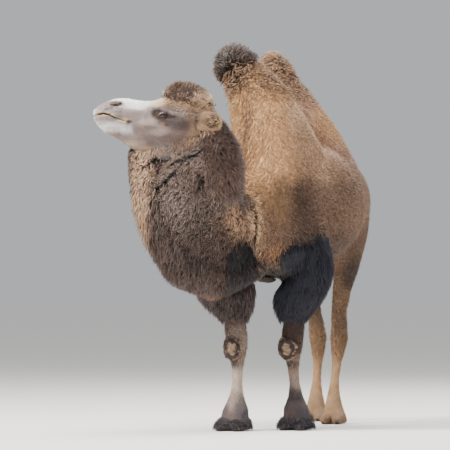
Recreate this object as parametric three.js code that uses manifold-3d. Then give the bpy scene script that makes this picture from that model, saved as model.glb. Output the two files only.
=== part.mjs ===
// A Bactrian camel standing still, at life size, with its head turned to its right and its chin raised.
// Units are millimetres. The animal faces -Y, its left side is +X, and +Z is up with the soles at zero.
// Every solid is drawn out to the tips of the coat. The masses of long hair are solids of their own.

import * as THREE from "three";
import { mergeVertices } from "three/addons/utils/BufferGeometryUtils.js";
import Module from "manifold-3d";

const wasm = await Module();
wasm.setup();

// ---------------------------------------------------------------- driving dimensions

const GAP = 0.4; // clearance between two solids that touch
const ROUND = 2; // exponent of an elliptical section; more is squarer, less is more pointed
const SLAB_WIDTH = 4000;
const DOME_RINGS = 3; // rings that round off the free end of a body

const TRUNK_SIDES = 18;
const HUMP_SIDES = 12;
const NECK_SIDES = 12;
const HEAD_SIDES = 16;
const LEG_SIDES = 10;
const HAIR_SIDES = 10;
const TAIL_SIDES = 8;

const KNEE_Z = 470;
const FETLOCK_Z = 175;
const HOCK_Z = 500;
const BELOW_KNEE = 95; // how far under the knee or the hock the lower leg begins

const HEAD_TURN = THREE.MathUtils.degToRad(73); // to the animal's right, from straight ahead
const HEAD_ORIGIN = new THREE.Vector3(-153, -1040, 1734); // middle of the back of the skull
const EYE = { along: 288, up: 21, out: 73, radius: 25 };

// ---------------------------------------------------------------- materials

const finish = (colour, roughness) =>
  new THREE.MeshStandardMaterial({ color: colour, roughness, metalness: 0 });

const fawnWool = finish(0x8f6f52, 0.95);
const greyBrownWool = finish(0x6f5b4a, 0.95);
const darkHair = finish(0x3a302b, 0.95);
const paleMuzzle = finish(0xcfc6bd, 0.9);
const hornNail = finish(0x3b3430, 0.5);
const callus = finish(0x8a7660, 0.8);
const wetEye = finish(0x17110d, 0.08);

// ---------------------------------------------------------------- solids from sections

const point = (x, y, z) => new THREE.Vector3(x, y, z);

// Reads a table whose first column is the level, and gives the other columns smoothly at any level.
function smooth(rows) {
  const slope = (i, k) => {
    const before = rows[Math.max(i - 1, 0)];
    const after = rows[Math.min(i + 1, rows.length - 1)];
    return (after[k] - before[k]) / (after[0] - before[0]);
  };
  return (level) => {
    const falling = rows[0][0] > rows[rows.length - 1][0];
    let i = rows.findIndex((row) => (falling ? row[0] < level : row[0] > level));
    i = i < 0 ? rows.length - 2 : Math.max(i - 1, 0);
    const span = rows[i + 1][0] - rows[i][0];
    const t = THREE.MathUtils.clamp((level - rows[i][0]) / span, 0, 1);
    return rows[i].slice(1).map((value, column) => {
      const k = column + 1;
      const a = (2 * t ** 3 - 3 * t ** 2 + 1) * value;
      const b = (t ** 3 - 2 * t ** 2 + t) * span * slope(i, k);
      const c = (-2 * t ** 3 + 3 * t ** 2) * rows[i + 1][k];
      const d = (t ** 3 - t ** 2) * span * slope(i + 1, k);
      return a + b + c + d;
    });
  };
}

const AXIS_X = point(1, 0, 0);
const AXIS_Y = point(0, 1, 0);
const AXIS_Z = point(0, 0, 1);

// A level section of an upright body: its middle, and its reach to the sides, back and front.
const levelSection = (x, y, z, half, back, front = back) => ({
  centre: point(x, y, z),
  rising: AXIS_Y,
  side: AXIS_X,
  half,
  up: back,
  down: front,
  upShape: ROUND,
  downShape: ROUND,
});

const bent = (value, power) => Math.sign(value) * Math.abs(value) ** power;

// One closed section: a centre, two directions in its plane, and how far it reaches along them.
function ringPoints(s, sides, shrink = 1, grow = 0) {
  const found = [];
  for (let k = 0; k < sides; k++) {
    const angle = (2 * Math.PI * k) / sides;
    const c = Math.cos(angle);
    const v = Math.sin(angle);
    const rise = v >= 0 ? s.up : s.down;
    const power = 2 / (v >= 0 ? s.upShape : s.downShape);
    found.push(
      s.centre
        .clone()
        .addScaledVector(s.side, (s.half + grow) * shrink * bent(c, power))
        .addScaledVector(s.rising, (rise + grow) * shrink * bent(v, power)),
    );
  }
  return found;
}

// Skins a row of sections into one closed body. A dome length rounds an end off; zero is a flat end.
function skinned(sections, sides, domes = [0, 0], grow = 0) {
  const last = sections.length - 1;
  const along = (i) =>
    sections[Math.min(i + 1, last)].centre
      .clone()
      .sub(sections[Math.max(i - 1, 0)].centre)
      .normalize();
  sections.forEach((s, i) => {
    s.side ??= along(i).cross(s.rising).normalize();
  });
  const rings = sections.map((s) => ringPoints(s, sides, 1, grow));
  const endRings = (i, outward, length) => {
    const found = [];
    for (let k = 1; length > 0 && k < DOME_RINGS; k++) {
      const turn = (k / DOME_RINGS) * (Math.PI / 2);
      const shift = outward.clone().multiplyScalar(Math.sin(turn) * (length + grow));
      const ring = ringPoints(sections[i], sides, Math.cos(turn), grow);
      found.push(ring.map((p) => p.add(shift)));
    }
    const pole = sections[i].centre.clone().addScaledVector(outward, length + grow);
    return { found, pole };
  };
  const start = endRings(0, along(0).negate(), domes[0]);
  const end = endRings(last, along(last), domes[1]);
  const all = [...start.found.reverse(), ...rings, ...end.found];
  const positions = all.flat().flatMap((p) => p.toArray());
  positions.push(...start.pole.toArray(), ...end.pole.toArray());
  const index = [];
  for (let i = 0; i < all.length - 1; i++)
    for (let k = 0; k < sides; k++) {
      const a = i * sides + k;
      const b = i * sides + ((k + 1) % sides);
      index.push(a, a + sides, b, b, a + sides, b + sides);
    }
  const startPole = all.length * sides;
  const lastRing = (all.length - 1) * sides;
  for (let k = 0; k < sides; k++) {
    const next = (k + 1) % sides;
    index.push(startPole, k, next);
    index.push(startPole + 1, lastRing + next, lastRing + k);
  }
  const geometry = new THREE.BufferGeometry();
  geometry.setAttribute("position", new THREE.Float32BufferAttribute(positions, 3));
  geometry.setIndex(index);
  return solidOf(geometry);
}

// A three.js geometry as a solid that can be cut and joined.
function solidOf(geometry) {
  geometry.deleteAttribute("normal");
  geometry.deleteAttribute("uv");
  const merged = mergeVertices(geometry, 1e-3);
  const mesh = new wasm.Mesh({
    numProp: 3,
    vertProperties: new Float32Array(merged.attributes.position.array),
    triVerts: new Uint32Array(merged.index.array),
  });
  const made = new wasm.Manifold(mesh);
  if (made.volume() > 0) return made;
  for (let i = 0; i < mesh.triVerts.length; i += 3) {
    const first = mesh.triVerts[i];
    mesh.triVerts[i] = mesh.triVerts[i + 1];
    mesh.triVerts[i + 1] = first;
  }
  return new wasm.Manifold(mesh);
}

// An ellipsoid with its radii along x, y and z.
function ball(centre, radii, grow = 0, detail = 7) {
  const geometry = new THREE.SphereGeometry(1, detail, Math.round(detail * 0.6));
  geometry.scale(radii[0] + grow, radii[1] + grow, radii[2] + grow);
  geometry.translate(centre.x, centre.y, centre.z);
  return solidOf(geometry);
}

// A level slab wider than the whole animal, with its middle at a height.
function slab(z, thickness) {
  const geometry = new THREE.BoxGeometry(SLAB_WIDTH, SLAB_WIDTH, thickness);
  geometry.translate(0, 0, z);
  return solidOf(geometry);
}

const largest = (solid) =>
  solid.decompose().sort((a, b) => b.volume() - a.volume())[0];

// What is left of a body outside all the others, without loose slivers.
const outside = (solid, ...others) =>
  largest(others.reduce((left, other) => left.subtract(other), solid));

// Parts a standing body at each height, and gives the pieces from the ground up.
function partedAt(solid, heights) {
  const cut = heights.reduce((left, z) => left.subtract(slab(z, GAP)), solid);
  const limits = [-Infinity, ...heights, Infinity];
  const middleZ = ({ min, max }) => (min[2] + max[2]) / 2;
  return limits.slice(1).map((high, i) => {
    const inside = cut.decompose().filter((body) => {
      const z = middleZ(body.boundingBox());
      return z > limits[i] && z < high;
    });
    return inside.sort((a, b) => b.volume() - a.volume())[0];
  });
}

const SIDES = [
  ["left", 1],
  ["right", -1],
];

const camel = new THREE.Group();

function add(name, solid, material) {
  const made = solid.getMesh();
  const geometry = new THREE.BufferGeometry();
  geometry.setAttribute("position", new THREE.BufferAttribute(made.vertProperties, 3));
  geometry.setIndex(new THREE.BufferAttribute(made.triVerts, 1));
  geometry.computeVertexNormals();
  const mesh = new THREE.Mesh(geometry, material);
  mesh.name = name;
  camel.add(mesh);
}

// ---------------------------------------------------------------- trunk

// From chest to rump: y, the back, the belly, the half width, and the height of the widest place.
const trunkTable = [
  [-700, 1255, 1020, 95, 1140],
  [-650, 1410, 925, 190, 1165],
  [-560, 1530, 865, 244, 1195],
  [-420, 1625, 845, 290, 1225],
  [-250, 1655, 855, 328, 1240],
  [-80, 1655, 878, 356, 1248],
  [100, 1655, 905, 366, 1258],
  [280, 1655, 945, 356, 1272],
  [460, 1645, 1010, 325, 1300],
  [620, 1608, 1080, 296, 1320],
  [770, 1550, 1120, 262, 1320],
  [880, 1480, 1140, 212, 1310],
  [960, 1400, 1165, 140, 1290],
];

function trunkSolid(grow) {
  const sections = trunkTable.map(([y, back, belly, half, widest]) => ({
    centre: point(0, y, widest),
    rising: AXIS_Z,
    side: AXIS_X,
    up: back - widest,
    down: widest - belly,
    half,
    upShape: 2.15,
    downShape: 2.2,
  }));
  return skinned(sections, TRUNK_SIDES, [50, 50], grow);
}

// ---------------------------------------------------------------- humps

// From the back upwards: z, the middle's x and y, and the half lengths across and along the body.
const frontHumpTable = [
  [1480, -5, -240, 292, 362],
  [1600, -25, -245, 272, 325],
  [1720, -62, -250, 245, 284],
  [1840, -102, -255, 218, 242],
  [1950, -152, -262, 182, 198],
  [2050, -204, -270, 138, 148],
];
const rearHumpTable = [
  [1480, -5, 420, 285, 372],
  [1600, -28, 410, 258, 338],
  [1720, -66, 395, 232, 292],
  [1840, -110, 385, 200, 242],
  [1950, -162, 378, 152, 192],
  [2050, -208, 374, 106, 142],
];

// The thick tufts that crown the humps, in the same terms.
const frontTuftTable = [
  [1985, -338, -285, 42, 70],
  [2025, -305, -285, 92, 122],
  [2075, -276, -285, 136, 158],
  [2125, -268, -285, 144, 160],
  [2175, -268, -285, 116, 132],
];
const rearTuftTable = [
  [2045, -205, 374, 116, 152],
  [2100, -226, 374, 114, 148],
  [2160, -242, 374, 96, 128],
  [2200, -248, 374, 70, 98],
];

function humpSolid(table, grow, domes = [0, 70]) {
  const sections = table.map(([z, x, y, across, lengthways]) =>
    levelSection(x, y, z, across, lengthways),
  );
  return skinned(sections, HUMP_SIDES, domes, grow);
}

// ---------------------------------------------------------------- neck, beard and mane

// Two outlines and the half width between them, one row for each section: the nape's x, y and z,
// then the throat's, then the half width.
const neckTable = [
  [-20, -400, 1560, -35, -470, 920, 225],
  [-80, -610, 1410, -155, -690, 850, 182],
  [-95, -780, 1325, -255, -850, 850, 184],
  [-100, -890, 1365, -395, -975, 940, 183],
  [-98, -955, 1450, -475, -1050, 1110, 176],
  [-112, -1000, 1560, -508, -1095, 1290, 160],
  [-140, -1025, 1640, -500, -1112, 1410, 128],
  [-170, -1045, 1705, -400, -1105, 1520, 76],
];
const beardTable = [
  [-40, -640, 1010, -60, -620, 840, 150],
  [-180, -780, 1000, -225, -830, 722, 178],
  [-300, -900, 1060, -435, -985, 815, 175],
  [-350, -960, 1170, -560, -1085, 1035, 170],
  [-385, -1015, 1300, -612, -1130, 1230, 158],
  [-400, -1040, 1410, -622, -1140, 1400, 134],
  [-430, -1080, 1545, -625, -1150, 1572, 84],
];
const maneTable = [
  [-85, -1040, 1735, -230, -1078, 1650, 92],
  [8, -1005, 1600, -268, -1060, 1515, 146],
  [28, -968, 1465, -288, -1030, 1400, 160],
  [4, -925, 1350, -272, -985, 1305, 148],
  [-52, -892, 1275, -200, -935, 1258, 98],
];

function outlineSolid(table, sides, domes, widest, shape, grow) {
  const sections = table.map(([nx, ny, nz, tx, ty, tz, half]) => {
    const nape = point(nx, ny, nz);
    const throat = point(tx, ty, tz);
    const depth = nape.distanceTo(throat);
    return {
      centre: throat.clone().lerp(nape, widest),
      rising: nape.clone().sub(throat).normalize(),
      up: depth * (1 - widest),
      down: depth * widest,
      half,
      upShape: shape,
      downShape: shape,
    };
  });
  return skinned(sections, sides, domes, grow);
}

const neckSolid = (grow) =>
  outlineSolid(neckTable, NECK_SIDES, [0, 30], 0.5, 2.1, grow);
const beardSolid = () =>
  outlineSolid(beardTable, HAIR_SIDES, [50, 16], 0.55, ROUND, 0);
const maneSolid = () =>
  outlineSolid(maneTable, HAIR_SIDES, [40, 30], 0.5, ROUND, 0);

// ---------------------------------------------------------------- head

const headForward = point(-Math.sin(HEAD_TURN), -Math.cos(HEAD_TURN), 0);
const headUp = AXIS_Z;
const headLeft = headUp.clone().cross(headForward);

const inHead = (along, up, out) =>
  HEAD_ORIGIN.clone()
    .addScaledVector(headForward, along)
    .addScaledVector(headUp, up)
    .addScaledVector(headLeft, out);

// From the back of the skull to the lips: the reach, the top, the underside, the half width, the
// height of the widest place, and the shapes of the upper and the lower half.
const headTable = [
  [20, 78, -60, 62, 10, 2, 2],
  [70, 122, -120, 80, 10, 2.1, 1.9],
  [125, 146, -178, 92, 0, 2.2, 2],
  [180, 152, -214, 98, -10, 2.2, 2],
  [235, 142, -222, 97, 5, 2.2, 1.9],
  [285, 126, -216, 92, 22, 2.3, 1.7],
  [335, 108, -206, 78, 12, 2.3, 1.7],
  [380, 108, -198, 66, 0, 2.2, 1.7],
  [430, 114, -182, 57, 0, 2.1, 1.8],
  [476, 121, -152, 52, 15, 2.1, 1.9],
  [515, 122, -120, 52, 15, 2.1, 2],
  [555, 118, -92, 55, 5, 2.2, 2.1],
  [600, 99, -72, 55, -5, 2.3, 2.2],
  [635, 82, -44, 47, 5, 2.3, 2.2],
  [657, 62, -12, 33, 20, 2.2, 2.1],
];

function skullSolid(grow) {
  const sections = headTable.map(
    ([along, top, under, half, widest, upShape, downShape]) => ({
      centre: inHead(along, widest, 0),
      rising: headUp,
      side: headLeft,
      up: top - widest,
      down: widest - under,
      half,
      upShape,
      downShape,
    }),
  );
  return skinned(sections, HEAD_SIDES, [35, 14], grow);
}

// The line between the jaws in the head's own plane: along, height, and the opening there.
const mouthLine = [
  [690, 12, 9],
  [640, 26, 12],
  [610, 36, 13],
  [572, 26, 9],
  [540, 3, 5],
  [478, -6, 1.2],
  [430, -60, GAP],
  [300, -150, GAP],
  [180, -196, GAP],
  [90, -220, GAP],
];

// A thin wedge across the whole head that opens the lips and parts off the lower jaw.
function mouthCut() {
  const shape = new THREE.Shape();
  mouthLine.forEach(([along, up, opening], i) => {
    const y = up + opening / 2;
    if (i) shape.lineTo(along, y);
    else shape.moveTo(along, y);
  });
  [...mouthLine].reverse().forEach(([along, up, opening]) => {
    shape.lineTo(along, up - opening / 2);
  });
  const width = 300;
  const geometry = new THREE.ExtrudeGeometry(shape, { depth: width, bevelEnabled: false });
  geometry.translate(0, 0, -width / 2);
  const place = new THREE.Matrix4().makeBasis(headForward, headUp, headLeft);
  place.setPosition(HEAD_ORIGIN);
  geometry.applyMatrix4(place);
  return solidOf(geometry);
}

// A ball placed by the head's own directions: radii along, up and out, pitched about the out axis.
function headBall(along, up, out, radii, pitch = 0, detail = 8) {
  const geometry = new THREE.SphereGeometry(1, detail, Math.round(detail * 0.6));
  geometry.scale(...radii);
  geometry.rotateZ(pitch);
  const place = new THREE.Matrix4().makeBasis(headForward, headUp, headLeft);
  place.setPosition(inHead(along, up, out));
  geometry.applyMatrix4(place);
  return solidOf(geometry);
}

const eyeBall = (side, grow) => {
  const r = EYE.radius + grow;
  return headBall(EYE.along, EYE.up, side * EYE.out, [r, r, r]);
};

function wholeHead() {
  let head = skullSolid(0);
  for (const side of [1, -1]) {
    head = head
      .add(headBall(272, 64, side * 74, [60, 25, 26], -0.2)) // brow over the eye
      .add(headBall(586, 66, side * 34, [46, 24, 22], -0.35, 6)) // nose wing
      .subtract(headBall(540, 84, side * 47, [36, 7, 16], -0.1, 6)) // nostril slit
      .subtract(headBall(292, 14, side * 106, [46, 32, 24], 0.15, 7)) // eye socket
      .subtract(eyeBall(side, GAP));
  }
  return head;
}

// ---------------------------------------------------------------- ears

// From root to tip: the reach, the half height and the half thickness.
const earTable = [
  [-30, 28, 16],
  [12, 40, 16],
  [58, 54, 14],
  [104, 56, 12],
  [138, 42, 9],
];
const EAR_ROOT = { along: 92, up: -2, out: 66 };

function earSolid(side, grow = 0) {
  const backward = headForward
    .clone()
    .multiplyScalar(-0.86)
    .addScaledVector(headLeft, side * 0.48)
    .addScaledVector(headUp, -0.16)
    .normalize();
  const height = headUp.clone().addScaledVector(backward, -headUp.dot(backward));
  height.normalize();
  const root = inHead(EAR_ROOT.along, EAR_ROOT.up, side * EAR_ROOT.out);
  const sections = earTable.map(([reach, half, thick]) => ({
    centre: root.clone().addScaledVector(backward, reach),
    rising: height,
    up: half,
    down: half,
    half: thick,
    upShape: ROUND,
    downShape: ROUND,
  }));
  const shell = skinned(sections, 10, [0, 16], grow);
  if (grow) return shell;
  const outward = backward.clone().cross(height).multiplyScalar(side);
  if (outward.dot(headLeft) * side < 0) outward.negate();
  const hollow = new THREE.SphereGeometry(1, 8, 5);
  hollow.scale(56, 38, 16);
  hollow.applyMatrix4(new THREE.Matrix4().makeBasis(backward, height, outward));
  const middle = root.clone().addScaledVector(backward, 82).addScaledVector(outward, 18);
  hollow.translate(middle.x, middle.y, middle.z);
  return shell.subtract(solidOf(hollow));
}

// ---------------------------------------------------------------- legs

// From the body down: the height, the reach forwards, the reach backwards and the half width.
const foreGirth = [
  [1400, 120, 130, 55],
  [1260, 140, 150, 70],
  [1150, 158, 172, 94],
  [1060, 148, 165, 110],
  [970, 124, 145, 103],
  [860, 100, 112, 88],
  [720, 84, 92, 80],
  [590, 78, 80, 77],
  [515, 82, 74, 74],
  [KNEE_Z - 10, 80, 70, 70],
  [405, 62, 58, 53],
  [345, 44, 48, 37],
  [265, 39, 45, 34],
  [FETLOCK_Z + 12, 50, 56, 48],
  [120, 76, 70, 80],
  [60, 108, 86, 92],
  [25, 129, 96, 105],
  [0, 134, 98, 109],
];
const hindGirth = [
  [1430, 150, 190, 78],
  [1310, 215, 275, 112],
  [1160, 210, 262, 112],
  [1020, 165, 190, 94],
  [900, 118, 140, 77],
  [780, 84, 100, 64],
  [660, 62, 78, 56],
  [575, 56, 76, 59],
  [HOCK_Z, 58, 76, 67],
  [430, 50, 58, 53],
  [365, 38, 42, 36],
  [270, 34, 40, 31],
  [FETLOCK_Z + 10, 40, 47, 40],
  [110, 62, 58, 58],
  [60, 92, 72, 74],
  [25, 111, 80, 83],
  [0, 115, 82, 87],
];

// The middle of each leg at its joints: height, x and y.
const legPaths = {
  front_left: [
    [1400, 185, -330],
    [1150, 205, -370],
    [950, 192, -385],
    [700, 140, -425],
    [KNEE_Z, 121, -447],
    [FETLOCK_Z, 137, -432],
    [0, 152, -462],
  ],
  front_right: [
    [1400, -185, -400],
    [1150, -215, -470],
    [950, -215, -520],
    [700, -186, -585],
    [KNEE_Z, -150, -622],
    [FETLOCK_Z, -152, -635],
    [0, -158, -668],
  ],
  hind_left: [
    [1400, 150, 640],
    [1150, 172, 580],
    [950, 150, 600],
    [700, 86, 655],
    [HOCK_Z, 80, 668],
    [FETLOCK_Z, 93, 505],
    [0, 111, 462],
  ],
  hind_right: [
    [1400, -150, 660],
    [1150, -172, 655],
    [950, -165, 730],
    [700, -143, 860],
    [HOCK_Z, -131, 945],
    [FETLOCK_Z, -140, 938],
    [0, -133, 905],
  ],
};

function legSolid(girth, path, grow) {
  const middle = smooth(path);
  const sections = girth.map(([z, front, back, half]) =>
    levelSection(...middle(z), z, half, back, front),
  );
  return skinned(sections, LEG_SIDES, [0, 0], grow);
}

// Two toes: a cleft from the front of the foot, and a nail on each toe's tip.
const toes = (fore) => ({
  reach: fore ? 118 : 98,
  spread: fore ? 50 : 39,
  nail: fore ? [27, 34, 25] : [22, 30, 22],
});

function cleft(path, fore) {
  const [x, y] = smooth(path)(0);
  const { reach } = toes(fore);
  const geometry = new THREE.CylinderGeometry(3, 24, 80, 5);
  geometry.rotateX(Math.PI / 2 + 0.9);
  geometry.scale(1, 1.2, 1);
  geometry.translate(x, y - reach - 18, 30);
  return solidOf(geometry);
}

function nailSolid(path, fore, side) {
  const [x, y] = smooth(path)(0);
  const { reach, spread, nail } = toes(fore);
  const solid = ball(point(x + side * spread, y - reach + 12, 14), nail);
  const underFloor = slab(-250, 500);
  return solid.subtract(underFloor);
}

function addLeg(name, path) {
  const fore = name.startsWith("front");
  const girth = fore ? foreGirth : hindGirth;
  const whole = legSolid(girth, path, 0).subtract(cleft(path, fore));
  const joint = (fore ? KNEE_Z : HOCK_Z) - BELOW_KNEE;
  const [foot, shank, thigh] = partedAt(whole, [FETLOCK_Z, joint]);
  add(`${name}_foot`, foot, fore ? darkHair : greyBrownWool);
  add(`${name}_lower_leg`, shank, greyBrownWool);
  add(`${name}_upper_leg`, outside(thigh, trunkGrown), fawnWool);
  const grown = legSolid(girth, path, GAP);
  for (const [side, sign] of SIDES) {
    const nail = nailSolid(path, fore, sign);
    add(`${name}_nail_${side}`, outside(nail, grown), hornNail);
  }
  return grown;
}

// ---------------------------------------------------------------- long hair on the fore arms

const ARM_HAIR_FRONT = 0.8; // how far it reaches in front of the arm, to how far behind

// From the elbow down: the height, how far the middle lies out and back from the leg's own middle,
// and the half lengths across and along.
const armHairTable = {
  left: [
    [1040, 12, 20, 90, 120],
    [960, 10, 24, 138, 168],
    [850, 2, 30, 164, 190],
    [740, -6, 22, 154, 170],
    [660, -12, 8, 118, 126],
    [615, -14, 0, 92, 96],
  ],
  right: [
    [1040, 20, 20, 90, 120],
    [960, 36, 24, 142, 168],
    [850, 52, 30, 176, 190],
    [750, 50, 22, 180, 172],
    [670, 24, 8, 136, 132],
    [615, 8, 0, 98, 98],
  ],
};

function armHair(side, outward, grow = 0) {
  const middle = smooth(legPaths[`front_${side}`]);
  const sections = armHairTable[side].map(([z, out, behind, across, lengthways]) => {
    const [x, y] = middle(z);
    return levelSection(
      x + outward * out,
      y + behind,
      z,
      across,
      lengthways,
      lengthways * ARM_HAIR_FRONT,
    );
  });
  return skinned(sections, HAIR_SIDES, [40, 12], grow);
}

// ---------------------------------------------------------------- tail

// From the rump down: the height, the middle's y and the radius.
const tailTable = [
  [1410, 950, 54],
  [1340, 1000, 48],
  [1220, 1030, 37],
  [1010, 1036, 30],
];
const tailTuftTable = [
  [1009.5, 1036, 36],
  [930, 1034, 50],
  [850, 1030, 44],
  [790, 1024, 22],
];

function tailSolid(table, domes) {
  const sections = table.map(([z, y, radius]) => levelSection(0, y, z, radius, radius));
  return skinned(sections, TAIL_SIDES, domes);
}

// ---------------------------------------------------------------- trunk, humps and their tufts

const trunkGrown = trunkSolid(GAP);
const frontHumpGrown = humpSolid(frontHumpTable, GAP);
const rearHumpGrown = humpSolid(rearHumpTable, GAP);
const frontHump = outside(humpSolid(frontHumpTable, 0), trunkGrown);
const rearHump = outside(humpSolid(rearHumpTable, 0), trunkGrown, frontHumpGrown);
const frontTuft = outside(humpSolid(frontTuftTable, 0, [20, 55]), frontHumpGrown);
const rearTuft = outside(humpSolid(rearTuftTable, 0, [0, 45]), rearHumpGrown);
add("trunk", trunkSolid(0), fawnWool);
add("front_hump", frontHump, fawnWool);
add("rear_hump", rearHump, fawnWool);
add("front_hump_tuft", frontTuft, darkHair);
add("rear_hump_tuft", rearTuft, greyBrownWool);

// ---------------------------------------------------------------- head, ears, eyes and forelock

const headGrown = skullSolid(GAP);
const [upperHead, lowerJaw] = wholeHead()
  .subtract(mouthCut())
  .decompose()
  .sort((a, b) => b.volume() - a.volume());
add("head", upperHead, fawnWool);
add("lower_jaw", lowerJaw, paleMuzzle);

const earsGrown = SIDES.map(([, sign]) => earSolid(sign, GAP));
for (const [side, sign] of SIDES) {
  add(`ear_${side}`, outside(earSolid(sign), headGrown), fawnWool);
  add(`eye_${side}`, eyeBall(sign, 0), wetEye);
}

const forelock = headBall(140, 106, 0, [152, 98, 88], 0.32, 10);
add("forelock", outside(forelock, headGrown, ...earsGrown), greyBrownWool);

// ---------------------------------------------------------------- legs, feet, nails and pads

const legsGrown = {};
for (const [name, path] of Object.entries(legPaths)) legsGrown[name] = addLeg(name, path);
const foreLegs = [legsGrown.front_left, legsGrown.front_right];

// Hard pads where the animal kneels: on the front of each fore knee and under the chest.
for (const [side] of SIDES) {
  const [x, y] = smooth(legPaths[`front_${side}`])(KNEE_Z);
  const pad = ball(point(x - 10, y - 48, KNEE_Z - 2), [60, 44, 78], 0, 8);
  add(`knee_pad_${side}`, outside(pad, legsGrown[`front_${side}`]), callus);
}
const chestPad = (grow) => ball(point(-28, -440, 866), [76, 118, 36], grow);
const chestPadGrown = chestPad(GAP);
add("chest_pad", outside(chestPad(0), trunkGrown, ...foreLegs), callus);

// ---------------------------------------------------------------- neck and the long hair

const besideNeck = [trunkGrown, headGrown, frontHumpGrown, ...earsGrown, ...foreLegs];
add("neck", outside(neckSolid(0), ...besideNeck), greyBrownWool);

const neckGrown = neckSolid(GAP);
const besideArm = [...foreLegs, trunkGrown, neckGrown, chestPadGrown];
for (const [side, sign] of SIDES)
  add(`arm_hair_${side}`, outside(armHair(side, sign), ...besideArm), darkHair);

const rightArmHairGrown = armHair("right", -1, GAP);
const besideBeard = [headGrown, ...besideArm, rightArmHairGrown];
add("beard", outside(beardSolid(), ...besideBeard), greyBrownWool);

const besideMane = [neckGrown, headGrown, trunkGrown, frontHumpGrown, ...earsGrown];
add("mane", outside(maneSolid(), ...besideMane), darkHair);

add("tail", outside(tailSolid(tailTable, [0, 0]), trunkGrown), fawnWool);
add("tail_tuft", tailSolid(tailTuftTable, [0, 16]), darkHair);

// ---------------------------------------------------------------- origin

// The origin is on the floor under the middle of the whole model.
const box = new THREE.Box3().setFromObject(camel);
const middle = box.getCenter(new THREE.Vector3());
camel.position.set(-middle.x, -middle.y, -box.min.z);

export default camel;
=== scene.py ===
# %% [markdown]
# # A two-humped camel, standing with its head turned and its chin raised
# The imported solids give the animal's true outline, out to the tips of its coat. This script puts
# one skin inside them, grows the coat on it in locks of solid mesh, and adds the eyes, lids,
# lashes, nails and callused pads. Everything is in metres, with the floor at zero.

# %% Open the frame
import math

import bmesh
import bpy
import numpy as np
import openvdb
from mathutils.kdtree import KDTree
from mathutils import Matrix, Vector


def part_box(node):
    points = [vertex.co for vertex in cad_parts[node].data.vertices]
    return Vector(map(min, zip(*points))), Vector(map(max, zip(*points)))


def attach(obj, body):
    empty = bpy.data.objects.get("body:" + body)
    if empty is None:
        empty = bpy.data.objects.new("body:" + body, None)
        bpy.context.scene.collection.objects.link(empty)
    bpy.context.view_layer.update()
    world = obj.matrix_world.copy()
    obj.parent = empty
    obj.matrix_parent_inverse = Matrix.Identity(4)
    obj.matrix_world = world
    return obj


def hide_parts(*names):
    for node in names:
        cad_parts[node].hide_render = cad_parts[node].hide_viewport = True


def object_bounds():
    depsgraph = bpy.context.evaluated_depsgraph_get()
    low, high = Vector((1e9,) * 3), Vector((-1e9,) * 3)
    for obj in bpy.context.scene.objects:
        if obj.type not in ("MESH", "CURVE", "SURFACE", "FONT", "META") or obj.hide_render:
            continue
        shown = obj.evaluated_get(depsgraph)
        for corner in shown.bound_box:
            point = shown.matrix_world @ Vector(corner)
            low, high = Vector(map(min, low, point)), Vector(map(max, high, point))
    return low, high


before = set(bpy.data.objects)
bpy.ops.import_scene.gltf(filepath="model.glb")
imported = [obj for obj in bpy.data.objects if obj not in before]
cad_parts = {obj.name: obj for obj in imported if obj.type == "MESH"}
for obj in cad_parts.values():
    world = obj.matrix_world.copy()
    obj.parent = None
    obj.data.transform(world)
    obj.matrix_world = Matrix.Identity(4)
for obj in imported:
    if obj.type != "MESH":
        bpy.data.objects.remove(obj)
CAD_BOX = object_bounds()
LOW = np.array(CAD_BOX[0])
HIGH = np.array(CAD_BOX[1])
print("the solids reach", np.round(HIGH - LOW, 3), "m")

# %% [markdown]
# ## Camera, floor and light
# A long lens far from the animal keeps its legs upright and its proportions plain. The floor is
# one pale sheet that runs to the horizon, so that no wall gets in the way of a camera that goes
# round the back. Three broad lamps and a pale sky give the even light of an overcast day.

# %% Camera
# The lens gives a narrow view from about twenty metres, as a long lens does.
SENSOR = 36.0
LENS = 283.2
CAMERA_AT = (6.0618, -19.5927, 0.8)
LOOKING_AT = (-0.0067, -0.5344, 1.159)


def aimed(name, data, place, target):
    """Puts a camera or a lamp somewhere, looking at a point."""
    thing = bpy.data.objects.new(name, data)
    way = Vector(target) - Vector(place)
    thing.rotation_euler = way.to_track_quat("-Z", "Y").to_euler()
    thing.location = place
    bpy.context.collection.objects.link(thing)
    return thing


lens = bpy.data.cameras.new("camera")
lens.sensor_width = SENSOR
lens.lens = LENS
lens.clip_end = 500.0
bpy.context.scene.camera = aimed("camera", lens, CAMERA_AT, LOOKING_AT)

# %% [markdown]
# ### Lamps and sky
# Wool shows its relief when one side is brighter than the other, so one lamp is small and strong
# and the rest only fill. A very wide sun from straight above lights the far floor as well, and
# that keeps the horizon from showing as a dark band.

# %% Lamps and sky
LAMPS = [
    # name, place, size, watts, colour
    ("key", (-4.5, -5.5, 7.5), 2.0, 2400.0, (1.0, 0.95, 0.87)),
    ("fill", (7.0, -6.0, 3.5), 5.0, 170.0, (0.93, 0.96, 1.0)),
    ("back", (3.0, 7.0, 6.0), 4.0, 700.0, (1.0, 0.97, 0.93)),
    ("top", (0.5, -0.5, 7.5), 4.0, 700.0, (1.0, 0.98, 0.95)),
]
for name, place, size, watts, colour in LAMPS:
    lamp = bpy.data.lights.new(name, "AREA")
    lamp.size = size
    lamp.energy = watts
    lamp.color = colour
    aimed(name, lamp, place, (0.0, 0.0, 1.2))

SUN_STRENGTH = 0.72
SUN_WIDTH = math.radians(90.0)
high_sun = bpy.data.lights.new("high_sun", "SUN")
high_sun.energy = SUN_STRENGTH
high_sun.angle = SUN_WIDTH
aimed("high_sun", high_sun, (0.0, 0.0, 10.0), (0.0, 0.01, 0.0))

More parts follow.
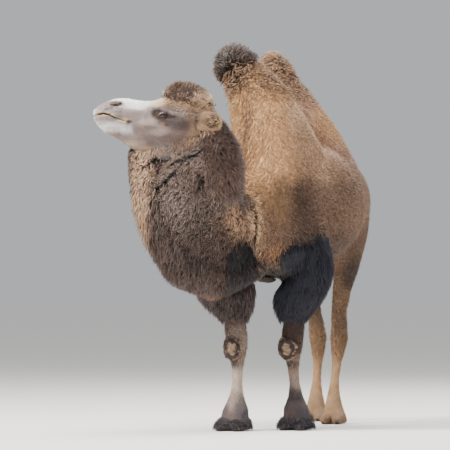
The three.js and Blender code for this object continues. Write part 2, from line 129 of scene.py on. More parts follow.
sky = bpy.data.worlds.new("studio")
bpy.context.scene.world = sky
sky.use_nodes = True
backdrop = sky.node_tree.nodes["Background"]
backdrop.inputs["Color"].default_value = (0.86, 0.88, 0.9, 1.0)
backdrop.inputs["Strength"].default_value = 0.6
print(len(LAMPS), "lamps, a wide sun and a pale sky")

# %% [markdown]
# ### Meshes from arrays
# Objects could be made one face at a time, but a coat has over a million faces. Blender can take
# whole arrays of corners and faces in one call, and every piece below is made in that way.

# %% Meshes from arrays
def mesh_from(name, points, faces):
    """Makes an object from corner points and faces of equal size. Its place is in its mesh."""
    sides = faces.shape[1]
    data = bpy.data.meshes.new(name)
    data.vertices.add(len(points))
    data.vertices.foreach_set("co", np.ascontiguousarray(points, np.float32).ravel())
    data.loops.add(faces.size)
    data.loops.foreach_set("vertex_index", np.ascontiguousarray(faces, np.int32).ravel())
    data.polygons.add(len(faces))
    data.polygons.foreach_set("loop_start", np.arange(0, faces.size, sides, dtype=np.int32))
    data.polygons.foreach_set("use_smooth", np.ones(len(faces), bool))
    data.update()
    thing = bpy.data.objects.new(name, data)
    bpy.context.collection.objects.link(thing)
    return thing


print("solids in the frame:", len(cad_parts))

# %% [markdown]
# ### Floor
# The floor isn't part of the animal. It could be a scaled plane, but four corners say as much, and
# its object stays unscaled.

# %% Floor
FLOOR_REACH = 150.0
floor_corners = FLOOR_REACH * np.array([(-1, -1, 0), (1, -1, 0), (1, 1, 0), (-1, 1, 0)])
floor = mesh_from("floor", floor_corners, np.array([[0, 1, 2, 3]]))
paint = bpy.data.materials.new("floor_paint")
paint.use_nodes = True
shader = paint.node_tree.nodes["Principled BSDF"]
shader.inputs["Base Color"].default_value = (0.7, 0.69, 0.67, 1.0)
shader.inputs["Roughness"].default_value = 0.9
floor.data.materials.append(paint)
print("floor", 2 * FLOOR_REACH, "m wide")

# %% [markdown]
# ## Skin
# A real hide has no seams, so the skin is one closed surface. It is easiest to make as a distance
# field: every sample of a box knows how far it is from the solids. Fields can be joined, softened
# and shrunk by plain arithmetic, and one call turns them back into a surface. The body is sampled
# at 7 mm. The head has its own finer box, turned the way the head is turned.

# %% Distance fields
STEP = 0.007
HEAD_STEP = 0.0028


def shell_of(name):
    """The points and triangles of one solid of the frame."""
    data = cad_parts[name].data
    data.calc_loop_triangles()
    points = np.empty(len(data.vertices) * 3, np.float32)
    data.vertices.foreach_get("co", points)
    triangles = np.empty(len(data.loop_triangles) * 3, np.int32)
    data.loop_triangles.foreach_get("vertices", triangles)
    return points.reshape(-1, 3), triangles.reshape(-1, 3).astype(np.uint32)


class Box:
    """A box of evenly spaced samples, in its own directions."""

    def __init__(self, low, high, step, origin=(0, 0, 0), axes=np.eye(3), band=0.07):
        self.low = np.array(low, float)
        self.step = step
        self.counts = tuple(int(n) for n in np.ceil((np.array(high) - self.low) / step) + 1)
        self.origin = np.array(origin)
        self.axes = np.array(axes)
        self.band = band

    def inside(self, points):
        """World points in the box's own directions."""
        return (points - self.origin) @ self.axes.T

    def outside(self, points):
        """Points in the box's own directions, in the world's."""
        return points @ self.axes + self.origin

    def grids(self):
        """The three coordinates of every sample, ready to broadcast."""
        lines = [self.low[k] + self.step * np.arange(self.counts[k]) for k in range(3)]
        return np.meshgrid(*[line.astype(np.float32) for line in lines], indexing="ij", sparse=True)

    def sampled(self, points, triangles, quads=None):
        """The distance to a closed surface at every sample."""
        local = ((self.inside(points) - self.low) / self.step).astype(np.float32)
        grid = openvdb.FloatGrid.createLevelSetFromPolygons(
            np.ascontiguousarray(local),
            triangles=triangles,
            quads=quads,
            halfWidth=self.band / self.step,
        )
        field = np.empty(self.counts, np.float32)
        grid.copyToArray(field)
        return field * self.step

    def distance(self, names):
        """The distance to the nearest of some solids: negative inside, and at most the band."""
        field = np.full(self.counts, self.band, np.float32)
        for name in names:
            np.minimum(field, self.sampled(*shell_of(name)), out=field)
        return field

    def surface(self, field, level=0.0, adaptivity=0.0):
        """World points, triangles and quads where the field has a value."""
        grid = openvdb.FloatGrid(float(self.band))
        grid.copyFromArray(np.ascontiguousarray(field, np.float32))
        points, triangles, quads = grid.convertToPolygons(level, adaptivity)
        return self.outside(points * self.step + self.low), triangles, quads

    def hull(self, names, closing=0.003):
        """The true distance to a union of solids, with the thin gaps between them closed."""
        points, triangles, quads = self.surface(self.distance(names), closing)
        return self.sampled(points, triangles, quads) + closing

    def softened(self, field, radius):
        """Rounds the field with a bell curve of a given radius, in metres."""
        for axis, count in enumerate(field.shape):
            waves = np.fft.rfftfreq(count, self.step)
            bell = np.exp(-2 * (np.pi * waves * radius) ** 2)
            bell = bell.reshape([-1 if k == axis else 1 for k in range(3)])
            spectrum = np.fft.rfft(field, axis=axis) * bell
            field = np.fft.irfft(spectrum, count, axis=axis).astype(np.float32)
        return field

    def values_at(self, field, points):
        """The field between the samples, at world points."""
        local = np.clip((self.inside(points) - self.low) / self.step, 0, np.array(self.counts) - 1.001)
        base = local.astype(int)
        part = local - base
        total = np.zeros(len(points))
        for corner in np.ndindex(2, 2, 2):
            weight = np.prod(np.where(corner, part, 1 - part), axis=1)
            i, j, k = (base + corner).T
            total += weight * field[i, j, k]
        return total


print("distance fields: body every", STEP, "m, head every", HEAD_STEP, "m")

# %% [markdown]
# ### Soft steps, joins and cuts
# Two fields are joined by keeping the smaller value at each sample, and a shape is cut out by
# keeping the larger one. A blend over a short distance rounds the edge, as skin does where two
# parts meet.

# %% Soft steps, joins and cuts
def ramp(value, start, end):
    """Rises smoothly from 0 at start to 1 at end."""
    t = np.clip((value - start) / (end - start), 0, 1)
    return t * t * (3 - 2 * t)


def join(a, b, soft):
    """The union of two fields with a fillet."""
    h = np.clip(0.5 + 0.5 * (b - a) / soft, 0, 1)
    return b + (a - b) * h - soft * h * (1 - h)


def cut(a, b, soft):
    """The first field less the second, with a rounded edge."""
    return -join(-a, b, soft)


print("two walls that meet, joined with a softness of 0.01 m, rise by", -join(0.0, 0.0, 0.01), "m")

# %% [markdown]
# ### The body's field
# The solids reach out to the tips of the coat, so the hide lies deeper: a few millimetres under
# the short hair of the legs, and several centimetres under the mops and the beard. Each part has
# its own depth, blended where parts meet. A broad bell curve then melts the parts of the trunk
# into each other, and a narrow one keeps the legs crisp.

# %% The body's field
MARGIN = 0.05
NAILS_AND_PADS = ("nail", "pad", "eye")
HEAD_NODES = ("head", "lower_jaw", "ear_left", "ear_right")
flesh_nodes = [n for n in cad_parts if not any(word in n for word in NAILS_AND_PADS)]
body = Box(LOW - MARGIN, HIGH + MARGIN, STEP)
body_hull = body.hull(flesh_nodes)
print("body samples:", body.counts)

# How deep the skin lies under the tips of the coat, in metres.
COAT_DEPTH = {
    "trunk": 0.018,
    "front_hump": 0.018,
    "rear_hump": 0.018,
    "front_hump_tuft": 0.05,
    "rear_hump_tuft": 0.045,
    "neck": 0.028,
    "mane": 0.045,
    "beard": 0.045,
    "forelock": 0.045,
    "arm_hair_left": 0.042,
    "arm_hair_right": 0.042,
    "upper_leg": 0.012,
    "lower_leg": 0.004,
    "foot": 0.003,
    "tail": 0.006,
    "tail_tuft": 0.01,
    "head": 0.02,
    "lower_jaw": 0.02,
    "ear_left": 0.02,
    "ear_right": 0.02,
}


def depth_of(name):
    """How deep the skin lies under one solid, by its whole name or by how the name ends."""
    if name in COAT_DEPTH:
        return COAT_DEPTH[name]
    return next(depth for part, depth in COAT_DEPTH.items() if name.endswith(part))


REACH = 0.012
UNREACHED = 9.0
THIN = 1e-6
owner = np.zeros(body.counts, np.int8)
nearest = np.full(body.counts, UNREACHED, np.float32)
weight_sum = np.full(body.counts, THIN, np.float32)
depth_sum = np.full(body.counts, THIN * 0.015, np.float32)
for number, name in enumerate(flesh_nodes):
    distance = body.sampled(*shell_of(name))
    owner[distance < nearest] = number
    np.minimum(nearest, distance, out=nearest)
    near = np.exp(-np.maximum(distance, 0) / REACH)
    weight_sum += near
    depth_sum += near * depth_of(name)
# Flesh that is filled out farther than this from every solid belongs to the left haunch.
owner[nearest > 0.98 * body.band] = list(flesh_nodes).index("hind_left_upper_leg")
height = body.grids()[2]
# The wool is short under the jaw, so the skin comes closer to the outline there.
throat = ramp(height, 1.25, 1.45) * ramp(-body.grids()[1], 0.92, 1.02)
coat_depth = body.softened(depth_sum / weight_sum, 0.012) * (1 - 0.62 * throat)

fine = body.softened(body_hull, 0.009)
broad = body.softened(fine, 0.028)
tailward = ramp(body.grids()[1], 1.02, 1.07)
torso = ramp(height, 0.78, 1.02) * (1 - 0.85 * throat) * (1 - tailward)
body_field = fine * (1 - torso) + broad * torso + coat_depth
print("hide lies", round(float(coat_depth.min()), 3), "to", round(float(coat_depth.max()), 3), "m deep")

# %% [markdown]
# ### Toes
# A camel walks on two toes with a broad soft pad under them, and each toe ends in a small nail.
# Each toe is a rounded rod joined to the foot behind its nail. A groove between the toes and soft
# notches over and beside them are cut out with rods too, which is simpler than modelling a foot.

# %% Toes and pasterns
# Nothing soft comes lower than this.
GROUND_GAP = 0.0005
# Middle of each sole, how far its toes reach forward, and how far apart they spread.
SOLES = {
    "front_left": (0.367, -0.369, 0.118, 0.05),
    "front_right": (0.057, -0.575, 0.118, 0.05),
    "hind_left": (0.326, 0.555, 0.098, 0.039),
    "hind_right": (0.082, 0.998, 0.098, 0.039),
}


def shape_rod(field, box, how, start, end, radius, end_radius, soft):
    """Joins or cuts a rounded rod, working only on the samples near it."""
    start, end = np.array(start), np.array(end)
    margin = soft + max(radius, end_radius) + box.band
    first = np.floor((np.minimum(start, end) - margin - box.low) / box.step).astype(int)
    last = np.ceil((np.maximum(start, end) + margin - box.low) / box.step).astype(int)
    part = tuple(slice(max(a, 0), b) for a, b in zip(first, last))
    lines = [box.low[k] + box.step * np.arange(box.counts[k])[part[k]] for k in range(3)]
    x, y, z = np.meshgrid(*lines, indexing="ij", sparse=True)
    way = end - start
    t = ((x - start[0]) * way[0] + (y - start[1]) * way[1] + (z - start[2]) * way[2]) / (way @ way)
    t = np.clip(t, 0, 1)
    gaps = (x - start[0] - t * way[0], y - start[1] - t * way[1], z - start[2] - t * way[2])
    rod_field = np.sqrt(sum(gap * gap for gap in gaps)) - radius - (end_radius - radius) * t
    field[part] = how(field[part], rod_field, soft)


def front_of(x, y, z):
    """How far forward the solids reach at one place of a leg."""
    steps = y - np.arange(0, 0.2, 0.002)
    values = body.values_at(body_hull, np.stack([np.full(100, x), steps, np.full(100, z)], axis=1))
    return steps[np.argmax(values > 0)]


for x, y, toe, spread in SOLES.values():
    tip = front_of(x, y, 0.02)
    low_front = front_of(x, y, 0.07)
    high_front = front_of(x, y, 0.1) - 0.03
    groove = ((x, tip - 0.004, -0.01), (x, low_front + 0.004, 0.07))
    shape_rod(body_field, body, cut, *groove, 0.012, 0.003, 0.012)
    instep = ((x - 0.1, high_front, 0.085), (x + 0.1, high_front, 0.085))
    shape_rod(body_field, body, cut, *instep, 0.034, 0.034, 0.02)
    for side in (-1, 1):
        edge = x + side * (spread + 0.045)
        flank = ((edge, y - toe, 0.07), (edge, y + 0.02, 0.09))
        shape_rod(body_field, body, cut, *flank, 0.02, 0.02, 0.02)
for leg, (x, y, toe, spread) in SOLES.items():
    for side in ("left", "right"):
        low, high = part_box(f"{leg}_nail_{side}")
        nail_x, nail_back = (low[0] + high[0]) / 2, high[1]
        toe_tip = (nail_x, nail_back - 0.018, 0.0245)
        knuckle = (nail_x + 0.3 * (x - nail_x), nail_back + 0.07, 0.045)
        shape_rod(body_field, body, join, toe_tip, knuckle, 0.0215, 0.03, 0.02)
print(2 * len(SOLES), "toes")

# %% [markdown]
# ### Haunch, tail and knees
# Plain solids leave a notch behind the left thigh, a stiff tail and calluses that stand off the
# knees. Flesh has no such breaks. A few rounded rods, joined with wide fillets, fill them out.

# %% Haunch, tail and knees
FLESH = [
    # from, to, two radii, softness
    # The left haunch, the tail's root and tip, and the flesh behind each knee's callus.
    ((0.3, 0.93, 1.22), (0.32, 0.76, 0.95), 0.09, 0.06, 0.06),
    ((0.2, 0.98, 1.39), (0.213, 1.085, 1.29), 0.05, 0.034, 0.06),
    ((0.215, 1.08, 1.3), (0.215, 1.1, 1.2), 0.034, 0.026, 0.04),
    ((0.215, 1.1, 1.2), (0.215, 1.125, 0.83), 0.026, 0.018, 0.02),
    ((0.326, -0.397, 0.43), (0.326, -0.397, 0.485), 0.035, 0.035, 0.025),
    ((0.055, -0.571, 0.435), (0.055, -0.571, 0.49), 0.035, 0.035, 0.025),
]
for start, end, radius, end_radius, soft in FLESH:
    shape_rod(body_field, body, join, start, end, radius, end_radius, soft)
# The soles are flat where they stand on the ground.
body_field = np.maximum(body_field, GROUND_GAP - height)
# The coat may reach the solids' outline, and stand off the flesh that was filled out beyond it.
body_hull = np.minimum(body_hull, body_field - coat_depth)
print(len(FLESH), "rods of flesh")

# %% [markdown]
# ### The head's own field
# The head is where people look first. Its box has one axis along the head, one to its left and one
# up, so a fold, a lid or a nostril is a short line of numbers. Soft joins and soft cuts keep every
# edge fleshy.

# %% The head's box, with balls, rods and dishes
HEAD_ORIGIN = np.array([0.0618, -0.9467, 1.734])
TURN = math.radians(17.0)
FORWARD = np.array([-math.cos(TURN), -math.sin(TURN), 0.0])
LEFT = np.array([math.sin(TURN), -math.cos(TURN), 0.0])
UP = np.array([0.0, 0.0, 1.0])
head = Box(
    (-0.11, -0.2, -0.31),
    (0.74, 0.2, 0.27),
    HEAD_STEP,
    HEAD_ORIGIN,
    np.array([FORWARD, LEFT, UP]),
    band=0.034,
)


along, out, up = head.grids()
away = np.abs(out)


def blob(centre, radii, pitch=0.0):
    """A ball squashed along the head's directions, on both sides, pitched about the left axis."""
    a = along - centre[0]
    u = up - centre[2]
    c, s = math.cos(pitch), math.sin(pitch)
    x = (a * c + u * s) / radii[0]
    z = (u * c - a * s) / radii[2]
    y = (away - centre[1]) / radii[1]
    length = np.sqrt(x * x + y * y + z * z)
    return ((length - 1) * min(radii)).astype(np.float32)


def rod(start, end, radius, end_radius=None):
    """A rounded rod between two points, on both sides."""
    start, end = np.array(start), np.array(end)
    way = end - start
    a, y, u = along - start[0], away - start[1], up - start[2]
    t = np.clip((a * way[0] + y * way[1] + u * way[2]) / (way @ way), 0, 1)
    far = np.sqrt((a - t * way[0]) ** 2 + (y - t * way[1]) ** 2 + (u - t * way[2]) ** 2)
    thick = radius + ((end_radius or radius) - radius) * t
    return (far - thick).astype(np.float32)


def dish(centre, way, facing, radii):
    """A flattened ball on both sides, with its long axis one way and its hollow facing another."""
    way = np.array(way) / np.linalg.norm(way)
    facing = np.array(facing) - np.dot(facing, way) * way
    facing /= np.linalg.norm(facing)
    third = np.cross(way, facing)
    parts = (along - centre[0], away - centre[1], up - centre[2])
    total = 0.0
    for direction, radius in zip((way, facing, third), radii):
        total = total + (sum(direction[k] * parts[k] for k in range(3)) / radius) ** 2
    return ((np.sqrt(total) - 1) * min(radii)).astype(np.float32)


print("the head points along", FORWARD.round(2), "and its left is", LEFT.round(2))

# %% [markdown]
# ### Skull, ears and crown
# The skull follows the solids of head and jaw, softer behind than at the muzzle. A camel's ears
# are short and round with a hollow that faces out and forward, so a flattened ball is cut out of
# each. The crown is the bulge of skin that carries the forelock.

# %% The skull, the ears and the crown
skull_hull = head.hull(("head", "lower_jaw"), 0.006)
muzzle = ramp(along, 0.4, 0.5)
skull = head.softened(skull_hull, 0.0075) * (1 - muzzle) + head.softened(skull_hull, 0.004) * muzzle
head_field = skull + 0.003 - 0.002 * muzzle
ears_and_crown = np.full(head.counts, head.band, np.float32)
for side in ("left", "right"):
    ear = head.softened(head.distance((f"ear_{side}",)), 0.004)
    head_field = join(head_field, ear, 0.012)
    ears_and_crown = np.minimum(ears_and_crown, ear - 0.01)
EAR_WAY = (-0.86, 0.48, -0.16)
EAR_FACING = (0.4, 0.91, 0.1)
EAR_HOLLOW = (0.018, 0.13, -0.014)
EAR_REACH = (0.054, 0.03, 0.038)
head_field = cut(head_field, dish(EAR_HOLLOW, EAR_WAY, EAR_FACING, EAR_REACH), 0.008)
crown = head.softened(head.distance(("forelock",)), 0.01) + 0.03
head_field = join(head_field, crown, 0.02)
ears_and_crown = np.minimum(ears_and_crown, crown - 0.02)
print("head samples:", head.counts)

# %% [markdown]
# ### Bones and hollows
# A camel's face is lean: bone shows as ridges, and the skin sinks between them. Ridges are joined
# as soft rods and balls, clamped to the solids' outline, and hollows are cut the same way.

# %% Bones, cheeks and hollows under the skin
RIDGES = [
    # The long ridge under the eye, the brow, the jaw's lower edge, the chewing muscle.
    (rod((0.375, 0.062, -0.012), (0.23, 0.09, -0.034), 0.012, 0.016), 0.03),
    (rod((0.335, 0.06, 0.056), (0.232, 0.084, 0.048), 0.013, 0.012), 0.016),
    (rod((0.42, 0.034, -0.088), (0.2, 0.05, -0.168), 0.012, 0.016), 0.03),
    (blob((0.165, 0.06, -0.09), (0.09, 0.034, 0.075)), 0.04),
    # The wing of the nostril and the pads of the upper and the lower lip.
    (rod((0.6, 0.03, 0.094), (0.512, 0.048, 0.093), 0.009, 0.013), 0.012),
    (rod((0.602, 0.04, 0.068), (0.52, 0.056, 0.062), 0.009, 0.01), 0.014),
    (blob((0.616, 0.03, 0.052), (0.056, 0.03, 0.03), -0.35), 0.02),
    (blob((0.645, 0.02, 0.042), (0.024, 0.028, 0.024)), 0.016),
    (blob((0.6, 0.022, 0.004), (0.07, 0.026, 0.018), -0.2), 0.02),
    (blob((0.545, 0.016, -0.04), (0.05, 0.028, 0.026), -0.3), 0.03),
]
for ridge, soft in RIDGES:
    head_field = join(head_field, ridge, soft)
head_field = np.maximum(head_field, np.minimum(skull_hull, ears_and_crown) - 0.0015)
HOLLOWS = [
    # In front of the ridge, between jaw and cheek, over the eye, behind the lips' corner.
    (blob((0.43, 0.088, 0.02), (0.085, 0.022, 0.03), -0.1), 0.03),
    (blob((0.34, 0.098, -0.078), (0.12, 0.018, 0.02), 0.35), 0.03),
    (blob((0.21, 0.1, 0.045), (0.04, 0.016, 0.026)), 0.03),
    (rod((0.462, 0.058, -0.022), (0.38, 0.08, -0.06), 0.009, 0.012), 0.02),
]
for hollow, soft in HOLLOWS:
    head_field = cut(head_field, hollow, soft)
print(len(RIDGES), "ridges and", len(HOLLOWS), "hollows")

# %% [markdown]
# ### Mouth and nostrils
# The lips part in a long, curved slit that turns down at the corner, and the upper lip is split
# in the middle. A nostril is a slanting slit that closes against sand. Both are cut along lines
# of measured points, with small round edges for the light to catch.

# %% Mouth
# From the lips back to the corner: how far along, how high, how wide open.
MOUTH = [
    (0.72, -0.004, 0.0012),
    (0.692, 0.006, 0.0016),
    (0.668, 0.018, 0.0045),
    (0.64, 0.029, 0.0062),
    (0.612, 0.033, 0.0055),
    (0.58, 0.026, 0.004),
    (0.55, 0.011, 0.003),
    (0.52, -0.001, 0.0026),
    (0.472, -0.01, 0.0018),
]
mouth = np.array(MOUTH)[::-1]
line = along[:, 0, 0]
mouth_height = np.interp(line, mouth[:, 0], mouth[:, 1])[:, None, None]
mouth_open = np.interp(line, mouth[:, 0], mouth[:, 2])[:, None, None]
beyond_corner = (mouth[0, 0] - along) * 0.8
MOUTH_DEPTH = 0.022
# The slit only goes a little way in from the lips' edge, so the mouth has a floor of its own.
slit = np.maximum(np.abs(up - mouth_height) - mouth_open, beyond_corner)
slit = np.maximum(slit, -(skull + MOUTH_DEPTH))
head_field = cut(head_field, slit.astype(np.float32), 0.005)
# The split in the middle of the upper lip.
split = rod((0.72, 0, 0.02), (0.645, 0, 0.078), 0.0035)
head_field = cut(head_field, split, 0.006)
print("mouth", round(MOUTH[0][0] - MOUTH[-1][0], 3), "m long")

# %% Nostrils
def cheek_at(field, a, u):
    """How far out from the middle the surface lies, at a place along and up the head."""
    outs = np.arange(0.1, 0.01, -0.001)
    places = head.outside(np.stack([np.full(len(outs), a), outs, np.full(len(outs), u)], axis=1))
    return outs[np.argmax(head.values_at(field, places) < 0)]


# A crease at the front, a long slit that can close, and a deeper hole at its back.
NOSTRIL = [
    # from and to, along and up, then how deep and how wide
    ((0.61, 0.087), (0.575, 0.093), 0.001, 0.0032),
    ((0.568, 0.078), (0.53, 0.077), 0.002, 0.0052),
    ((0.53, 0.077), (0.516, 0.086), 0.003, 0.0062),
    ((0.516, 0.086), (0.512, 0.098), 0.0, 0.003),
]
for (a_from, u_from), (a_to, u_to), deep, radius in NOSTRIL:
    start = (a_from, cheek_at(head_field, a_from, u_from) - deep, u_from)
    end = (a_to, cheek_at(head_field, a_to, u_to) - deep, u_to)
    head_field = cut(head_field, rod(start, end, radius), 0.004)
print(len(NOSTRIL), "cuts for each nostril")

# %% [markdown]
# ### Eyes and lids
# The eye sits deep under a heavy upper lid. A ball slightly larger than the eye is joined to the
# skull for the lids. The almond-shaped opening and the socket are cut out of it, and then the
# folds over and under the lids.

# %% Eyes and lids
EYE = (0.288, 0.073, 0.021)
EYE_RADIUS = 0.025
LID = 0.0048
EYE_SLOPE = -0.25
lids = blob(EYE, (EYE_RADIUS + LID,) * 3)
head_field = join(head_field, lids, 0.012)
a = along - EYE[0]
u = up - EYE[2]
c, s = math.cos(EYE_SLOPE), math.sin(EYE_SLOPE)
lengthways = a * c - u * s
crossways = u * c + a * s
HALF_LENGTH = 0.0285
arch = np.clip(1 - (lengthways / HALF_LENGTH) ** 2, 0, 1)
upper_edge = -0.001 + 0.0112 * arch
lower_edge = -0.001 - 0.0105 * arch
opening = np.maximum(crossways - upper_edge, lower_edge - crossways)
opening = np.maximum(opening, np.abs(lengthways) - HALF_LENGTH)
opening = np.maximum(opening, EYE[1] + 0.006 - away)
head_field = cut(head_field, opening.astype(np.float32), 0.003)
head_field = cut(head_field, blob(EYE, (EYE_RADIUS + 0.0006,) * 3), 0.001)
# The fold over the upper lid, the bag under the lower one, and the tear pit at the front corner.
FOLDS = [
    (rod((0.328, 0.084, 0.043), (0.25, 0.102, 0.036), 0.0042), 0.007),
    (rod((0.322, 0.088, -0.004), (0.255, 0.1, -0.019), 0.0034), 0.008),
    (rod((0.33, 0.08, 0.026), (0.318, 0.084, 0.03), 0.007, 0.003), 0.006),
    (rod((0.26, 0.1, 0.018), (0.222, 0.104, 0.015), 0.004, 0.002), 0.007),
]
for fold, soft in FOLDS:
    head_field = cut(head_field, fold, soft)
print("eye opening", 2 * HALF_LENGTH, "m long, with", len(FOLDS), "folds")

# %% [markdown]
# ### One closed surface
# The body's field and the head's become two closed surfaces that pass into each other under the
# wool of the throat, and a Boolean union makes them one.

# %% Skin mesh
def skin_part(name, box, field, adaptivity):
    """The largest closed surface where a field is zero, as an object whose faces point outwards."""
    points, triangles, quads = box.surface(field, 0.0, adaptivity)
    halves = np.concatenate([quads[:, [0, 1, 2]], quads[:, [0, 2, 3]], triangles]).astype(np.int64)
    corners = points[halves]
    volume = np.einsum("ij,ij->i", corners[:, 0], np.cross(corners[:, 1], corners[:, 2])).sum() / 6
    if volume < 0:
        halves = halves[:, ::-1]
    # Every corner takes the lowest number among its neighbours, until each loose bit has one.
    label = np.arange(len(points))
    edges = np.concatenate([halves[:, [0, 1]], halves[:, [1, 2]]])
    while True:
        lowest = np.minimum(label[edges[:, 0]], label[edges[:, 1]])
        new = label.copy()
        np.minimum.at(new, edges[:, 0], lowest)
        np.minimum.at(new, edges[:, 1], lowest)
        new = new[new]
        if (new == label).all():
            break
        label = new
    names, counts = np.unique(label, return_counts=True)
    main = label == names[np.argmax(counts)]
    halves = halves[main[halves[:, 0]]]
    order = np.cumsum(main) - 1
    piece = mesh_from(name, points[main], order[halves])
    print(name, len(halves), "triangles,", len(names) - 1, "loose bits left out")
    return piece


# How freely flat places take larger triangles. The whole skin stays under 200,000 of them.
BODY_ADAPTIVITY = 0.011
HEAD_ADAPTIVITY = 0.007
skin = skin_part("skin", body, body_field, BODY_ADAPTIVITY)
head_skin = skin_part("head_skin", head, head_field, HEAD_ADAPTIVITY)
union = skin.modifiers.new("head", "BOOLEAN")
union.operation = "UNION"
union.solver = "MANIFOLD"
union.object = head_skin
joined = bpy.data.meshes.new_from_object(skin.evaluated_get(bpy.context.evaluated_depsgraph_get()))
skin.modifiers.clear()
skin.data = joined
bpy.data.objects.remove(head_skin)
skin.data.polygons.foreach_set("use_smooth", np.ones(len(skin.data.polygons), bool))
print("skin:", len(skin.data.polygons), "faces")

# %% [markdown]
# ## Markings
# Skin and coat have to carry the same colours, or bald spots would show wherever the wool opens.
# One rule gives the colour at any place: each part of the animal has its ground colour, soft
# patches lie over it, and slow noise mottles the whole. The noise also frays the edges of the
# patches, as wool does.

# %% Noise
def noise(points, size, seed):
    """Smooth values from -1 to 1 that change over a distance of size."""
    lattice = np.random.default_rng(seed).uniform(-1, 1, (32, 32, 32))
    place = points / size
    base = np.floor(place).astype(int)
    part = place - base
    part = part * part * (3 - 2 * part)
    total = np.zeros(len(points))
    for corner in np.ndindex(2, 2, 2):
        weight = np.prod(np.where(corner, part, 1 - part), axis=1)
        i, j, k = ((base + corner) % 32).T
        total += weight * lattice[i, j, k]
    return total


print("noise at three places:", noise(np.arange(9.0).reshape(3, 3), 2.0, 1).round(2))

# %% [markdown]
# ### Colours of the coat
# Wool bleaches from umber to sand, and the longest hair stays nearly black. Colours are easiest to
# choose as a screen shows them, so a helper turns them into the linear values of light.

# %% Colours of the coat
def tint(red, green, blue):
    """A colour as a screen shows it, in the linear values that Blender uses."""
    value = np.array((red, green, blue)) / 255
    return np.where(value <= 0.04045, value / 12.92, ((value + 0.055) / 1.055) ** 2.4)


SAND = tint(220, 168, 120)
FAWN = tint(180, 144, 114)
TAUPE = tint(134, 108, 90)
UMBER = tint(86, 64, 54)
SOOT = tint(46, 35, 33)
# Blue-black: the long hair's own black, with a bluish painted reflection of the sky in it.
INK = tint(23, 24, 34)
RUST = tint(150, 100, 64)
OCHRE = tint(140, 106, 76)
HONEY = tint(178, 142, 106)
ROSE_GREY = tint(160, 139, 127)
ASH = tint(186, 168, 154)
CHARCOAL = tint(58, 52, 57)
WHITE = tint(246, 245, 244)
CREAM = tint(218, 188, 142)
LILAC_GREY = tint(146, 130, 128)
# A grey-brown used both as painted shade on the cheek and jaw and as darker skin under the eye and beside
# the muzzle.
SHADE_AND_STAIN = tint(80, 65, 63)
print("sand as linear light:", SAND.round(3))

# %% [markdown]
# ### Ground colours and patches
# A camel isn't one brown. The flanks of the humps are bleached and partly painted with sunlight,
# the shoulder and the arms are dark, and the shanks are pale. Each part has a ground colour, and a
# patch is a soft ellipsoid of another colour over it; some patches are painted shade and painted
# light. Paint put on by hand would be lost each time the skin is made anew.

# %% Ground colours and patches on the body
GROUND = {
    "trunk": tint(130, 101, 81),
    "front_hump": SAND,
    "rear_hump": tint(197, 157, 131),
    "front_hump_tuft": tint(60, 48, 43),
    "rear_hump_tuft": tint(128, 102, 80),
    "neck": tint(98, 83, 76),
    "mane": tint(74, 57, 51),
    "beard": tint(70, 56, 51),
    "forelock": tint(84, 66, 54),
    "arm_hair_left": INK,
    "arm_hair_right": tint(66, 54, 52),
    "front_left_upper_leg": UMBER,
    "front_right_upper_leg": tint(116, 96, 86),
    "hind_left_upper_leg": tint(128, 99, 75),
    "hind_right_upper_leg": tint(134, 105, 78),
    "front_left_lower_leg": tint(148, 128, 117),
    "front_right_lower_leg": ASH,
    "hind_left_lower_leg": HONEY,
    "hind_right_lower_leg": HONEY,
    "front_left_foot": CHARCOAL,
    "front_right_foot": tint(78, 71, 75),
    "hind_left_foot": tint(156, 124, 94),
    "hind_right_foot": tint(156, 124, 94),
    "tail": tint(116, 90, 72),
    "tail_tuft": UMBER,
    "head": LILAC_GREY,
    "lower_jaw": LILAC_GREY,
    "ear_left": FAWN,
    "ear_right": FAWN,
}
